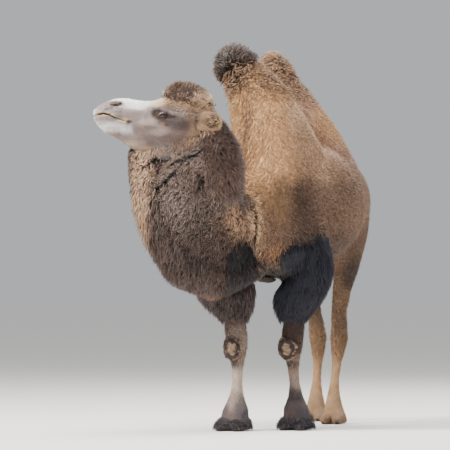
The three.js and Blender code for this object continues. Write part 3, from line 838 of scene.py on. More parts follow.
PATCHES = [
    # colour, strength, centre, reach along x, y and z
    # Pale sand on the front hump's flank, down over the shoulder and behind the neck: partly the wool's own
    # bleached colour, partly painted sunlight on the lit side.
    (SAND, 1.0, (0.24, -0.48, 1.52), (0.17, 0.24, 0.36)),
    (SAND, 0.95, (0.1, -0.42, 1.8), (0.14, 0.18, 0.24)),
    (tint(230, 184, 142), 0.5, (0.23, -0.72, 1.24), (0.06, 0.17, 0.32)),
    (tint(232, 190, 156), 0.75, (0.36, -0.2, 1.78), (0.13, 0.2, 0.2)),
    (TAUPE, 0.85, (0.075, -0.44, 1.76), (0.045, 0.1, 0.2)),
    (tint(196, 158, 126), 0.85, (0.44, -0.24, 1.6), (0.16, 0.3, 0.26)),
    (tint(156, 122, 90), 0.9, (0.33, -0.56, 1.33), (0.065, 0.14, 0.22)),
    # The dark shoulder, which runs down into the hair of the arm.
    (UMBER, 0.6, (0.43, -0.46, 1.34), (0.09, 0.17, 0.12)),
    (UMBER, 0.65, (0.45, -0.44, 1.2), (0.13, 0.17, 0.13)),
    (SOOT, 0.5, (0.41, -0.5, 1.36), (0.035, 0.08, 0.05)),
    (SOOT, 0.75, (0.43, -0.44, 1.06), (0.13, 0.2, 0.08)),
    (TAUPE, 0.6, (0.52, -0.28, 1.32), (0.06, 0.12, 0.12)),
    # Bare, warm skin in the armpit. The belly between the arms and the low flank are painted dark, as
    # painted shade under the body.
    (tint(158, 114, 80), 0.7, (0.31, -0.58, 1.0), (0.12, 0.16, 0.06)),
    (SOOT, 0.95, (0.2, -0.5, 0.88), (0.2, 0.3, 0.07)),
    (SOOT, 0.9, (0.44, -0.4, 0.95), (0.13, 0.2, 0.07)),
    (UMBER, 0.7, (0.5, 0.1, 1.0), (0.2, 0.6, 0.16)),
    # The neck: a dark plume down its near side, a tan patch beside it, a dark underside.
    (tint(22, 18, 21), 1.0, (0.175, -0.79, 0.91), (0.055, 0.1, 0.15)),
    (SOOT, 0.75, (0.18, -0.76, 0.9), (0.11, 0.14, 0.25)),
    (FAWN, 0.8, (0.17, -0.88, 1.17), (0.08, 0.14, 0.13)),
    (TAUPE, 0.5, (0.1, -0.94, 1.14), (0.06, 0.1, 0.12)),
    (tint(64, 49, 44), 0.9, (0.0, -0.95, 0.92), (0.34, 0.34, 0.34)),
    (UMBER, 0.5, (0.06, -1.0, 1.4), (0.16, 0.2, 0.12)),
    # Two pale patches down the neck's right edge are painted light, where that edge catches the lamps.
    (tint(186, 154, 128), 0.65, (-0.31, -1.1, 1.38), (0.07, 0.2, 0.3)),
    (FAWN, 0.35, (-0.33, -1.08, 1.14), (0.06, 0.2, 0.2)),
    # The dark mop's edge on the front hump, and the pale rump of the rear one.
    (tint(60, 48, 43), 1.0, (-0.06, -0.33, 2.05), (0.15, 0.22, 0.16)),
    (SAND, 0.7, (0.07, -0.42, 1.93), (0.04, 0.12, 0.1)),
    (SAND, 0.8, (0.33, 0.45, 1.79), (0.12, 0.2, 0.2)),
    (FAWN, 0.6, (0.4, 0.16, 1.62), (0.1, 0.2, 0.12)),
    # Hind legs: a dark thigh, a dark inner side.
    (SOOT, 0.8, (0.42, 0.68, 0.88), (0.09, 0.2, 0.13)),
    (tint(60, 46, 42), 0.55, (0.1, 0.95, 0.76), (0.14, 0.3, 0.2)),
    (UMBER, 0.5, (0.32, 0.62, 0.6), (0.08, 0.2, 0.1)),
    # Fore legs: dark above the knee, dark wrinkled rings round the calluses, pale cannons.
    (UMBER, 0.75, (0.05, -0.52, 0.66), (0.18, 0.2, 0.1)),
    (ROSE_GREY, 0.8, (0.09, -0.58, 0.5), (0.09, 0.14, 0.12)),
    (SOOT, 0.55, (0.36, -0.42, 0.6), (0.14, 0.2, 0.12)),
    (SOOT, 0.9, (0.326, -0.43, 0.455), (0.068, 0.1, 0.088)),
    (SOOT, 0.9, (0.055, -0.605, 0.46), (0.068, 0.1, 0.09)),
    (TAUPE, 0.8, (0.34, -0.34, 0.385), (0.16, 0.24, 0.06)),
    (TAUPE, 0.5, (0.06, -0.53, 0.385), (0.16, 0.24, 0.06)),
    (CHARCOAL, 0.8, (0.326, -0.4, 0.375), (0.05, 0.1, 0.03)),
    (CHARCOAL, 0.7, (0.055, -0.58, 0.375), (0.05, 0.1, 0.03)),
    (CHARCOAL, 0.8, (0.34, -0.36, 0.19), (0.12, 0.14, 0.06)),
    (CHARCOAL, 0.4, (0.06, -0.54, 0.17), (0.12, 0.14, 0.05)),
    (ROSE_GREY, 0.6, (0.05, -0.6, 0.165), (0.035, 0.1, 0.06)),
    (TAUPE, 0.35, (0.06, -0.62, 0.09), (0.04, 0.1, 0.03)),
    (UMBER, 0.5, (0.34, -0.42, 0.1), (0.05, 0.1, 0.03)),
    (OCHRE, 0.7, (0.31, 0.66, 0.43), (0.12, 0.2, 0.09)),
    (OCHRE, 0.7, (0.08, 1.04, 0.43), (0.12, 0.2, 0.09)),
    (tint(190, 160, 132), 0.95, (0.03, -1.0, 1.83), (0.08, 0.14, 0.07)),
    (UMBER, 0.7, (0.31, 0.55, 0.02), (0.12, 0.14, 0.05)),
    (UMBER, 0.7, (0.07, 1.0, 0.02), (0.12, 0.14, 0.05)),
]
# Only the beard's lower fringe is orange-brown, and only the wool of the neck cracks open.
FRINGE = (RUST, 0.4, (0.0, -0.78, 0.76), (0.18, 0.26, 0.035))
print(len(GROUND), "ground colours and", len(PATCHES), "patches on the body")

# %% [markdown]
# ### Cracks in the wool
# Where the neck bends, its thick wool parts along lines and dark gaps show. A crack is a row of
# points on the skin. Hardly a lock is rooted in it, those beside it lean away, and it is painted
# dark as painted shade in the gap.

# %% Cracks in the neck's wool
CRACKS = [
    ((0.03, -1.05, 1.575), (-0.05, -1.083, 1.513), (-0.113, -1.087, 1.503), (-0.166, -1.087, 1.484)),
    ((-0.112, -1.094, 1.447), (-0.164, -1.093, 1.392), (-0.215, -1.1, 1.349), (-0.262, -1.107, 1.312)),
    ((-0.235, -1.07, 1.514), (-0.289, -1.103, 1.466)),
    ((0.013, -1.075, 1.443), (0.033, -1.07, 1.4), (0.03, -1.07, 1.36)),
    ((0.236, -0.7, 1.3), (0.246, -0.69, 1.17), (0.25, -0.69, 1.04)),
]


def crack_distance(points):
    """How far a place is from the nearest crack in the wool."""
    nearest = np.full(len(points), 9.0)
    for crack in crack_lines:
        for start, end in zip(crack, crack[1:]):
            start, way = np.array(start), np.array(end) - np.array(start)
            t = np.clip((points - start) @ way / (way @ way), 0, 1)
            nearest = np.minimum(nearest, np.linalg.norm(points - start - t[:, None] * way, axis=1))
    return nearest


def crack_parting(points):
    """Which way the wool leans off the nearest crack, and less the farther it is."""
    lean = np.zeros((len(points), 3))
    for crack in crack_lines:
        for start, end in zip(crack, crack[1:]):
            start, way = np.array(start), np.array(end) - np.array(start)
            t = np.clip((points - start) @ way / (way @ way), 0, 1)
            gap = points - start - t[:, None] * way
            far = np.linalg.norm(gap, axis=1, keepdims=True)
            lean += gap / (far + 0.002) * np.clip(1 - far / 0.024, 0, 1)
    return lean


print(len(CRACKS), "cracks")

# %% [markdown]
# ### Patches on the head
# The face has finer markings: a white blaze, pale lips and chin, dark lids and a tear stain. Their
# places are given in the head's own directions, and they are the same on both of its sides.

# %% Patches on the head
def head_place(points):
    """How far along, to the left and up the head a place lies."""
    return (points - HEAD_ORIGIN) @ np.array([FORWARD, LEFT, UP]).T


HEAD_PATCHES = [
    # colour, strength, centre along, out and up, reach
    # The forehead, the crown and the back of the cheek are fawn.
    (FAWN, 0.95, (0.2, 0.0, 0.1), (0.16, 0.14, 0.07)),
    (CREAM, 0.55, (0.3, 0.05, 0.09), (0.08, 0.06, 0.03)),
    (HONEY, 0.7, (0.1, 0.05, 0.1), (0.12, 0.14, 0.08)),
    (ASH, 0.8, (0.19, 0.1, 0.035), (0.055, 0.05, 0.02)),
    (OCHRE, 0.6, (0.13, 0.08, 0.02), (0.06, 0.08, 0.06)),
    (UMBER, 0.6, (0.15, 0.08, -0.03), (0.07, 0.08, 0.05)),
    (FAWN, 0.9, (0.08, 0.08, -0.09), (0.08, 0.1, 0.1)),
    (OCHRE, 0.6, (0.16, 0.06, -0.15), (0.1, 0.08, 0.07)),
    # Cheek and jaw: soft grey-brown painted shadows along the muscles, and a painted shadow behind the eye.
    (SHADE_AND_STAIN, 0.5, (0.4, 0.07, -0.055), (0.11, 0.07, 0.04)),
    (SHADE_AND_STAIN, 0.65, (0.33, 0.06, -0.115), (0.13, 0.07, 0.042)),
    (UMBER, 0.6, (0.22, 0.08, -0.1), (0.08, 0.06, 0.06)),
    (UMBER, 0.5, (0.17, 0.08, -0.055), (0.06, 0.07, 0.04)),
    (ASH, 0.5, (0.375, 0.06, -0.02), (0.06, 0.06, 0.025)),
    (ASH, 0.35, (0.3, 0.06, -0.07), (0.07, 0.06, 0.022)),
    (ASH, 0.45, (0.42, 0.02, -0.125), (0.07, 0.05, 0.022)),
    (tint(66, 54, 52), 0.85, (0.2, 0.09, -0.022), (0.085, 0.08, 0.05)),
    # Forelock's foot, a painted shadow along the front of the ear's base, and painted shade deep in the
    # ear's hollow.
    (UMBER, 0.85, (0.2, 0.03, 0.125), (0.06, 0.1, 0.03)),
    (SOOT, 0.8, (0.1, 0.1, -0.03), (0.016, 0.05, 0.06)),
    (SOOT, 0.95, (0.02, 0.13, -0.014), (0.06, 0.03, 0.036)),
    (CREAM, 0.7, (-0.035, 0.15, -0.02), (0.02, 0.04, 0.05)),
    # Round the eye: painted shade under the brow and in the socket, the dark skin of the lids, a dark
    # corner line, an orange tear stain.
    (SOOT, 0.95, (0.316, 0.08, 0.034), (0.042, 0.06, 0.036)),
    (SOOT, 1.0, (0.285, 0.08, 0.016), (0.056, 0.06, 0.032)),
    (SOOT, 0.95, (0.238, 0.09, 0.016), (0.05, 0.06, 0.016)),
    (SHADE_AND_STAIN, 0.9, (0.262, 0.09, -0.02), (0.055, 0.06, 0.024)),
    (RUST, 0.6, (0.285, 0.1, -0.03), (0.018, 0.04, 0.008)),
    (SOOT, 0.5, (0.262, 0.09, -0.032), (0.02, 0.04, 0.008)),
    # Blaze, lips and chin.
    (tint(255, 255, 255), 1.0, (0.44, 0.0, 0.11), (0.17, 0.09, 0.045)),
    (WHITE, 0.95, (0.44, 0.05, 0.078), (0.09, 0.04, 0.03)),
    (tint(160, 150, 149), 0.95, (0.58, 0.03, 0.045), (0.11, 0.08, 0.03)),
    (SHADE_AND_STAIN, 0.4, (0.53, 0.05, 0.03), (0.04, 0.05, 0.02)),
    (tint(110, 92, 82), 1.0, (0.548, 0.05, 0.09), (0.052, 0.04, 0.018)),
    (UMBER, 0.6, (0.51, 0.05, 0.088), (0.014, 0.04, 0.02)),
    # The nostril's slit, the hole at its back and the crease in front are painted near black: painted shade
    # in the openings.
    (tint(20, 15, 15), 1.0, (0.546, 0.06, 0.078), (0.03, 0.05, 0.0075)),
    (tint(20, 15, 15), 0.9, (0.516, 0.06, 0.088), (0.009, 0.05, 0.016)),
    (tint(20, 15, 15), 0.7, (0.59, 0.05, 0.092), (0.022, 0.05, 0.004)),
    (WHITE, 0.85, (0.672, 0.0, 0.03), (0.02, 0.05, 0.04)),
    (WHITE, 1.0, (0.57, 0.0, -0.035), (0.12, 0.08, 0.045)),
    (WHITE, 0.6, (0.49, 0.03, -0.055), (0.05, 0.05, 0.03)),
    (CREAM, 0.95, (0.6, 0.04, 0.03), (0.07, 0.05, 0.012)),
    (CREAM, 0.9, (0.5, 0.05, -0.004), (0.05, 0.04, 0.012)),
    (TAUPE, 0.6, (0.63, 0.02, 0.0), (0.03, 0.04, 0.012)),
    # Painted shade in the corner of the mouth.
    (SOOT, 0.85, (0.47, 0.05, -0.012), (0.02, 0.03, 0.014)),
    (HONEY, 0.7, (0.57, 0.0, -0.078), (0.05, 0.05, 0.014)),
    (CREAM, 0.5, (0.46, 0.0, -0.13), (0.05, 0.04, 0.02)),
    (HONEY, 0.6, (0.34, 0.03, -0.165), (0.14, 0.07, 0.018)),
]
print(len(HEAD_PATCHES), "patches on the head")

# %% [markdown]
# ### The colour rule
# Nodes in a material could lay these patches too, but a lock of hair has one colour along its
# length, that of the place where it is rooted. So the rule is plain Python, and each piece keeps
# its result as a colour attribute.

# %% The colour rule
OWNERS = list(flesh_nodes)
ground_table = np.array([GROUND[name] for name in OWNERS])


def part_at(points):
    """Which solid a place belongs to, as a number in OWNERS."""
    local = np.clip(np.round((points - body.low) / body.step).astype(int), 0, np.array(body.counts) - 1)
    return owner[tuple(local.T)]


def lay_patches(colour, points, patches, core=0.4, rim=1.2):
    """Lays soft-edged patches over a colour, full within the core and gone at the rim."""
    for shade, strength, centre, reach in patches:
        far = np.sqrt((((points - np.array(centre)) / np.array(reach)) ** 2).sum(axis=1))
        cover = strength * (1 - ramp(far, core, rim))
        colour += cover[:, None] * (shade - colour)


# Between which heights one part's colour passes into the next one's.
HUMP_FADE = (1.38, 1.76)
THIGH_FADE = (0.82, 1.12)
KNEE_FADE = (0.37, 0.44)
ANKLE_FADE = (0.1, 0.25)
ARM_FADE = (0.63, 0.72)
REARWARD_FADE = (-0.05, 0.3)
# Slow, middling and fine patches of lighter and darker wool: size, share and seed.
MOTTLES = [(0.09, 0.14, 4), (0.025, 0.13, 5), (0.01, 0.12, 6)]


def coat_colour(points):
    """The colour of skin and coat at any place, before each lock's own difference."""
    drift = np.stack([noise(points, 0.03, s) for s in (1, 2, 3)], axis=1)
    frayed = points + 0.012 * drift
    part = part_at(frayed)
    colour = ground_table[part].astype(float)
    # The humps' pale wool fades into the darker wool of the trunk, with no line between.
    of_back = np.isin(part, [OWNERS.index(name) for name in ("trunk", "front_hump", "rear_hump")])
    rise = ramp(frayed[of_back, 2] + 0.06 * noise(frayed[of_back], 0.14, 7), *HUMP_FADE)[:, None]
    rearward = ramp(frayed[of_back, 1], *REARWARD_FADE)[:, None]
    pale = SAND + rearward * (np.array(GROUND["rear_hump"]) - SAND)
    colour[of_back] = GROUND["trunk"] + rise * (pale - GROUND["trunk"])
    # The legs change from part to part as softly.
    for leg in SOLES:
        bands = [f"{leg}_{name}" for name in ("foot", "lower_leg", "upper_leg")]
        of_leg = np.isin(part, [OWNERS.index(name) for name in bands])
        level = frayed[of_leg, 2]
        low, middle, high = (GROUND[name] for name in bands)
        shade = low + ramp(level, *ANKLE_FADE)[:, None] * (middle - low)
        colour[of_leg] = shade + ramp(level, *KNEE_FADE)[:, None] * (high - shade)
    # So does the short hair of the thighs.
    of_thigh = np.isin(part, [OWNERS.index(f"hind_{side}_upper_leg") for side in ("left", "right")])
    rise = ramp(frayed[of_thigh, 2] + 0.05 * noise(frayed[of_thigh], 0.1, 8), *THIGH_FADE)[:, None]
    colour[of_thigh] += rise * (0.8 * GROUND["trunk"] - colour[of_thigh])
    lay_patches(colour, frayed, PATCHES)
    bearded = part == OWNERS.index("beard")
    fringe = colour[bearded]
    lay_patches(fringe, frayed[bearded], [FRINGE])
    colour[bearded] = fringe
    arm = np.isin(part, [OWNERS.index("arm_hair_left"), OWNERS.index("front_left_upper_leg")])
    inked = ramp(frayed[arm][:, 2], *ARM_FADE)[:, None]
    colour[arm] += inked * (INK - colour[arm])
    local = head_place(points + 0.005 * drift)
    of_head = is_head[part_at(points)]
    face = colour[of_head]
    sided = local[of_head]
    sided[:, 1] = np.abs(sided[:, 1])
    lay_patches(face, sided, HEAD_PATCHES)
    # The gap between the lips is painted dark along its open middle, as painted shade inside the mouth.
    gap = np.abs(sided[:, 2] - np.interp(sided[:, 0], mouth[:, 0], mouth[:, 1]))
    dark = ramp(gap, 0.0065, 0.003) * ramp(sided[:, 0], 0.53, 0.56) * ramp(sided[:, 0], 0.65, 0.63)
    face += dark[:, None] * (SOOT - face)
    colour[of_head] = face
    mottle_and_crack_shade = np.ones(len(points))
    for size, share, seed in MOTTLES:
        mottle_and_crack_shade += share * noise(points, size, seed)
    mottle_and_crack_shade[of_head] = 1 + 0.6 * (mottle_and_crack_shade[of_head] - 1)
    # The cracks in the neck's wool are painted nearly black, as painted shade in the gaps.
    mottle_and_crack_shade *= 0.06 + 0.94 * ramp(crack_distance(points + 0.004 * drift), 0.004, 0.014)
    return colour * mottle_and_crack_shade[:, None]


is_head = np.array([name in HEAD_NODES for name in OWNERS])
LONG_WOOL = ("neck", "beard", "mane", "forelock", "hair", "tuft")
is_wool = np.array([any(word in name for word in LONG_WOOL) for name in OWNERS])
print(is_head.sum(), "solids of the head, and", is_wool.sum(), "with long wool")

# %% [markdown]
# ### The hide painted
# Hide is seldom seen, but it shows wherever locks part. Its colours are the coat's own, darkened as
# skin in the shade of wool is, so a gap reads as depth and not as a bald spot.

# %% The hide painted
def paint_points(piece, colours):
    """Stores a colour for each point, for the material to read."""
    layer = piece.data.color_attributes.new("coat", "FLOAT_COLOR", "POINT")
    rgba = np.ones((len(colours), 4), np.float32)
    rgba[:, :3] = np.clip(colours, 0, 1)
    layer.data.foreach_set("color", rgba.ravel())


def points_of(piece):
    """The corner points of a piece's mesh."""
    values = np.empty(len(piece.data.vertices) * 3, np.float32)
    piece.data.vertices.foreach_get("co", values)
    return values.reshape(-1, 3).astype(float)


skin_points = points_of(skin)
crack_lines = [
    [skin_points[np.argmin(np.linalg.norm(skin_points - np.array(place), axis=1))] for place in crack]
    for crack in CRACKS
]
skin_colour = coat_colour(skin_points)
# The hide is in the coat's shade, and darkest under the long wool.
UNDER_WOOL = 0.3
UNDER_HAIR = 0.75
skin_colour *= np.where(is_wool[part_at(skin_points)], UNDER_WOOL, UNDER_HAIR)[:, None]
paint_points(skin, skin_colour)
print("skin painted:", len(skin_points), "points")

# %% [markdown]
# ## Materials
# Wool, short hair and bare skin scatter light in their own ways, so each has its own shader. They
# share one group, which draws fine strands: noise stretched along the coat's lie, as a value for
# the colour and as a height for the bump.

# %% Strand group
def new_group(name, inputs, outputs):
    """An empty shader group with number inputs and outputs."""
    group = bpy.data.node_groups.new(name, "ShaderNodeTree")
    for label, kind in inputs:
        group.interface.new_socket(label, in_out="INPUT", socket_type=kind)
    for label, kind in outputs:
        group.interface.new_socket(label, in_out="OUTPUT", socket_type=kind)
    return group, group.nodes.new("NodeGroupInput"), group.nodes.new("NodeGroupOutput")


strands, taken, given = new_group(
    "strands",
    [("Colour", "NodeSocketColor"), ("Scale", "NodeSocketFloat"), ("Contrast", "NodeSocketFloat")],
    [("Colour", "NodeSocketColor"), ("Height", "NodeSocketFloat")],
)
place = strands.nodes.new("ShaderNodeTexCoord")
stretch = strands.nodes.new("ShaderNodeMapping")
stretch.inputs["Scale"].default_value = (1.0, 1.0, 0.22)
grain = strands.nodes.new("ShaderNodeTexNoise")
grain.inputs["Detail"].default_value = 4.0
grain.inputs["Roughness"].default_value = 0.65
gain = strands.nodes.new("ShaderNodeMath")
gain.operation = "MULTIPLY_ADD"
offset = strands.nodes.new("ShaderNodeMath")
offset.operation = "MULTIPLY_ADD"
offset.inputs[1].default_value = -0.5
offset.inputs[2].default_value = 1.0
scaled = strands.nodes.new("ShaderNodeVectorMath")
scaled.operation = "SCALE"
link = strands.links.new
link(place.outputs["Object"], stretch.inputs["Vector"])
link(stretch.outputs["Vector"], grain.inputs["Vector"])
link(taken.outputs["Scale"], grain.inputs["Scale"])
link(taken.outputs["Contrast"], offset.inputs[0])
link(grain.outputs["Fac"], gain.inputs[0])
link(taken.outputs["Contrast"], gain.inputs[1])
link(offset.outputs["Value"], gain.inputs[2])
link(taken.outputs["Colour"], scaled.inputs[0])
link(gain.outputs["Value"], scaled.inputs["Scale"])
link(scaled.outputs["Vector"], given.inputs["Colour"])
link(grain.outputs["Fac"], given.inputs["Height"])
print("strand group:", len(strands.nodes), "nodes")

# %% [markdown]
# ### Hair materials
# Wool is dull with a faint sheen, long hair is smoother, and the short nap lies between. Each is a
# Principled shader with its own size of strands and its own relief.

# %% Hair materials
def hair_material(name, scale, contrast, bump, depth, roughness, sheen):
    """A coat material: the painted colour, broken up by strands."""
    material = bpy.data.materials.new(name)
    material.use_nodes = True
    nodes, link = material.node_tree.nodes, material.node_tree.links.new
    shader = nodes["Principled BSDF"]
    shader.inputs["Roughness"].default_value = roughness
    shader.inputs["Specular IOR Level"].default_value = 0.25
    shader.inputs["Sheen Weight"].default_value = sheen
    shader.inputs["Sheen Roughness"].default_value = 0.5
    painted = nodes.new("ShaderNodeAttribute")
    painted.attribute_name = "coat"
    fibre = nodes.new("ShaderNodeGroup")
    fibre.node_tree = strands
    fibre.inputs["Scale"].default_value = scale
    fibre.inputs["Contrast"].default_value = contrast
    relief = nodes.new("ShaderNodeBump")
    relief.inputs["Strength"].default_value = bump
    relief.inputs["Distance"].default_value = depth
    link(painted.outputs["Color"], fibre.inputs["Colour"])
    link(fibre.outputs["Colour"], shader.inputs["Base Color"])
    link(fibre.outputs["Height"], relief.inputs["Height"])
    link(relief.outputs["Normal"], shader.inputs["Normal"])
    return material


hide = hair_material("hide", 320.0, 0.7, 0.55, 0.003, 0.8, 0.05)
wool = hair_material("wool", 420.0, 0.8, 0.4, 0.002, 0.9, 0.12)
short_hair = hair_material("short_hair", 600.0, 0.5, 0.3, 0.001, 0.75, 0.08)
long_hair = hair_material("long_hair", 500.0, 0.7, 0.4, 0.0015, 0.6, 0.06)
skin.data.materials.clear()
skin.data.materials.append(hide)
print("one strand group in", len([m for m in bpy.data.materials if m.node_tree]), "materials")

# %% [markdown]
# ## Coat
# Each lock is a small closed blade with three sides, bent along the coat's lie. Thousands of them
# are computed at once as arrays, which is far quicker than making objects. Neighbouring locks lean
# together into clumps, and each clump is painted paler in its middle and darker at its edge, as a
# painted highlight and painted shade. That is what makes wool look like wool: pale ridges with dark
# gaps between.

# %% Roots on the skin
skin.data.calc_loop_triangles()
skin_faces = np.empty(len(skin.data.loop_triangles) * 3, np.int32)
skin.data.loop_triangles.foreach_get("vertices", skin_faces)
skin_faces = skin_faces.reshape(-1, 3)
skin_normals = np.empty(len(skin_points) * 3, np.float32)
skin.data.vertex_normals.foreach_get("vector", skin_normals)
skin_normals = skin_normals.reshape(-1, 3).astype(float)
face_corners = skin_points[skin_faces]
face_centres = face_corners.mean(axis=1)
cross = np.cross(face_corners[:, 1] - face_corners[:, 0], face_corners[:, 2] - face_corners[:, 0])
face_areas = np.linalg.norm(cross, axis=1) / 2
face_owner = part_at(face_centres)


def unit(vectors):
    """Vectors of length one."""
    return vectors / np.maximum(np.linalg.norm(vectors, axis=-1, keepdims=True), 1e-9)


def roots_on(parts, count, rng, where=None):
    """Even but irregular places on the skin of some parts, with the normals there."""
    chosen = np.isin(face_owner, [OWNERS.index(p) for p in parts])
    density = face_areas * chosen
    if where is not None:
        density = density * where(face_centres)
    total = np.cumsum(density)
    marks = (np.arange(count) + rng.uniform(0, 1, count)) / count * total[-1]
    face = np.searchsorted(total, marks)
    s, t = rng.uniform(0, 1, (2, count))
    over = s + t > 1
    s[over], t[over] = 1 - s[over], 1 - t[over]
    mix = np.stack([1 - s - t, s, t], axis=1)[:, :, None]
    points = (face_corners[face] * mix).sum(axis=1)
    normals = unit((skin_normals[skin_faces[face]] * mix).sum(axis=1))
    return points, normals, density.sum()


print("skin area", round(float(face_areas.sum()), 2), "square metres")

# %% [markdown]
# ### The lie of the coat
# Hair lies down and back nearly everywhere, but it falls outwards from the mops and runs back from
# the muzzle. A lie is a function that gives a way for any place. Combing by hand would be finer,
# but it couldn't be repeated.

# %% The lie of the coat
def towards(x, y, z):
    """The same way all over."""
    return lambda points: np.broadcast_to(np.array((x, y, z), float), points.shape)


def from_top(top, fall):
    """Out from a point, and down: how the mop on a hump falls."""
    def way(points):
        flat = points - np.array(top)
        flat[:, 2] = 0
        return unit(flat) + np.array((0.05, 0.1, -fall))
    return way


def along_head(back, down):
    """Back from the muzzle, and down."""
    return towards(*(-back * FORWARD - down * UP))


def ear_way(points):
    """Back and out along each ear."""
    side = np.sign(head_place(points)[:, 1])[:, None]
    return -0.86 * FORWARD + 0.48 * side * LEFT - 0.16 * UP


print("the lie beside a mop's top:", from_top((0, 0, 2), 0.6)(np.array([[0.1, 0.0, 1.9]])).round(2))

# %% [markdown]
# ### Locks
# Geometry Nodes could scatter copies of one lock over the skin. Here every lock is bent on its
# own, leans into its clump and is cut back where it would leave the animal's outline. That outline
# is known only as an array of distances, so the locks are computed as arrays too.

# %% The faces of a lock, and its place on the map
DOWN = np.array((0.0, 0.0, -1.0))
# How many slices the middle line of a part is measured in.
SLICES = 8


def lock_faces(rings):
    """The triangles of one lock, by its own corner numbers."""
    faces = [(0, 2, 1)]
    for r in range(rings - 1):
        for k in range(3):
            a, b = 3 * r + k, 3 * r + (k + 1) % 3
            faces += [(a, b, b + 3), (a, b + 3, a + 3)]
    last = 3 * (rings - 1)
    faces += [(last + k, last + (k + 1) % 3, 3 * rings) for k in range(3)]
    return np.array(faces)


def unwrapped(points, axis):
    """Places on an unwrap of the skin: the angle round a part's middle line, and the way along it."""
    level = points @ axis
    other = unit(np.cross(axis, (0.3, 0.5, 0.81)))
    third = np.cross(axis, other)
    flat = np.stack([points @ other, points @ third], axis=1)
    edges = np.quantile(level, np.linspace(0, 1, SLICES + 1))
    middles = (edges[1:] + edges[:-1]) / 2
    step = np.clip(np.searchsorted(edges, level) - 1, 0, SLICES - 1)
    groups = [flat[step == k] if (step == k).any() else flat for k in range(SLICES)]
    centres = np.array([group.mean(axis=0) for group in groups])
    middle = np.stack([np.interp(level, middles, centres[:, k]) for k in range(2)], axis=1)
    turn = np.arctan2(*(flat - middle).T)
    spot = np.stack([turn, level], axis=1)
    spot -= spot.min(axis=0)
    return 0.004 + 0.99 * spot / spot.max(axis=0)


print("a lock with two rings has", len(lock_faces(2)), "triangles")

# %% Growing locks
# The side of a lock's patch on the UV map, and how far tips may stand out of the outline.
PATCH = 0.003
OVERSHOOT = 0.006
# How much lengths vary, how deep a root sits in the skin, and how often a lock is cut shorter.
LENGTH_SPREAD = 0.22
ROOT_SINK = 0.25
TRIMS = 2
lock_count = 0
coat_triangles = 0


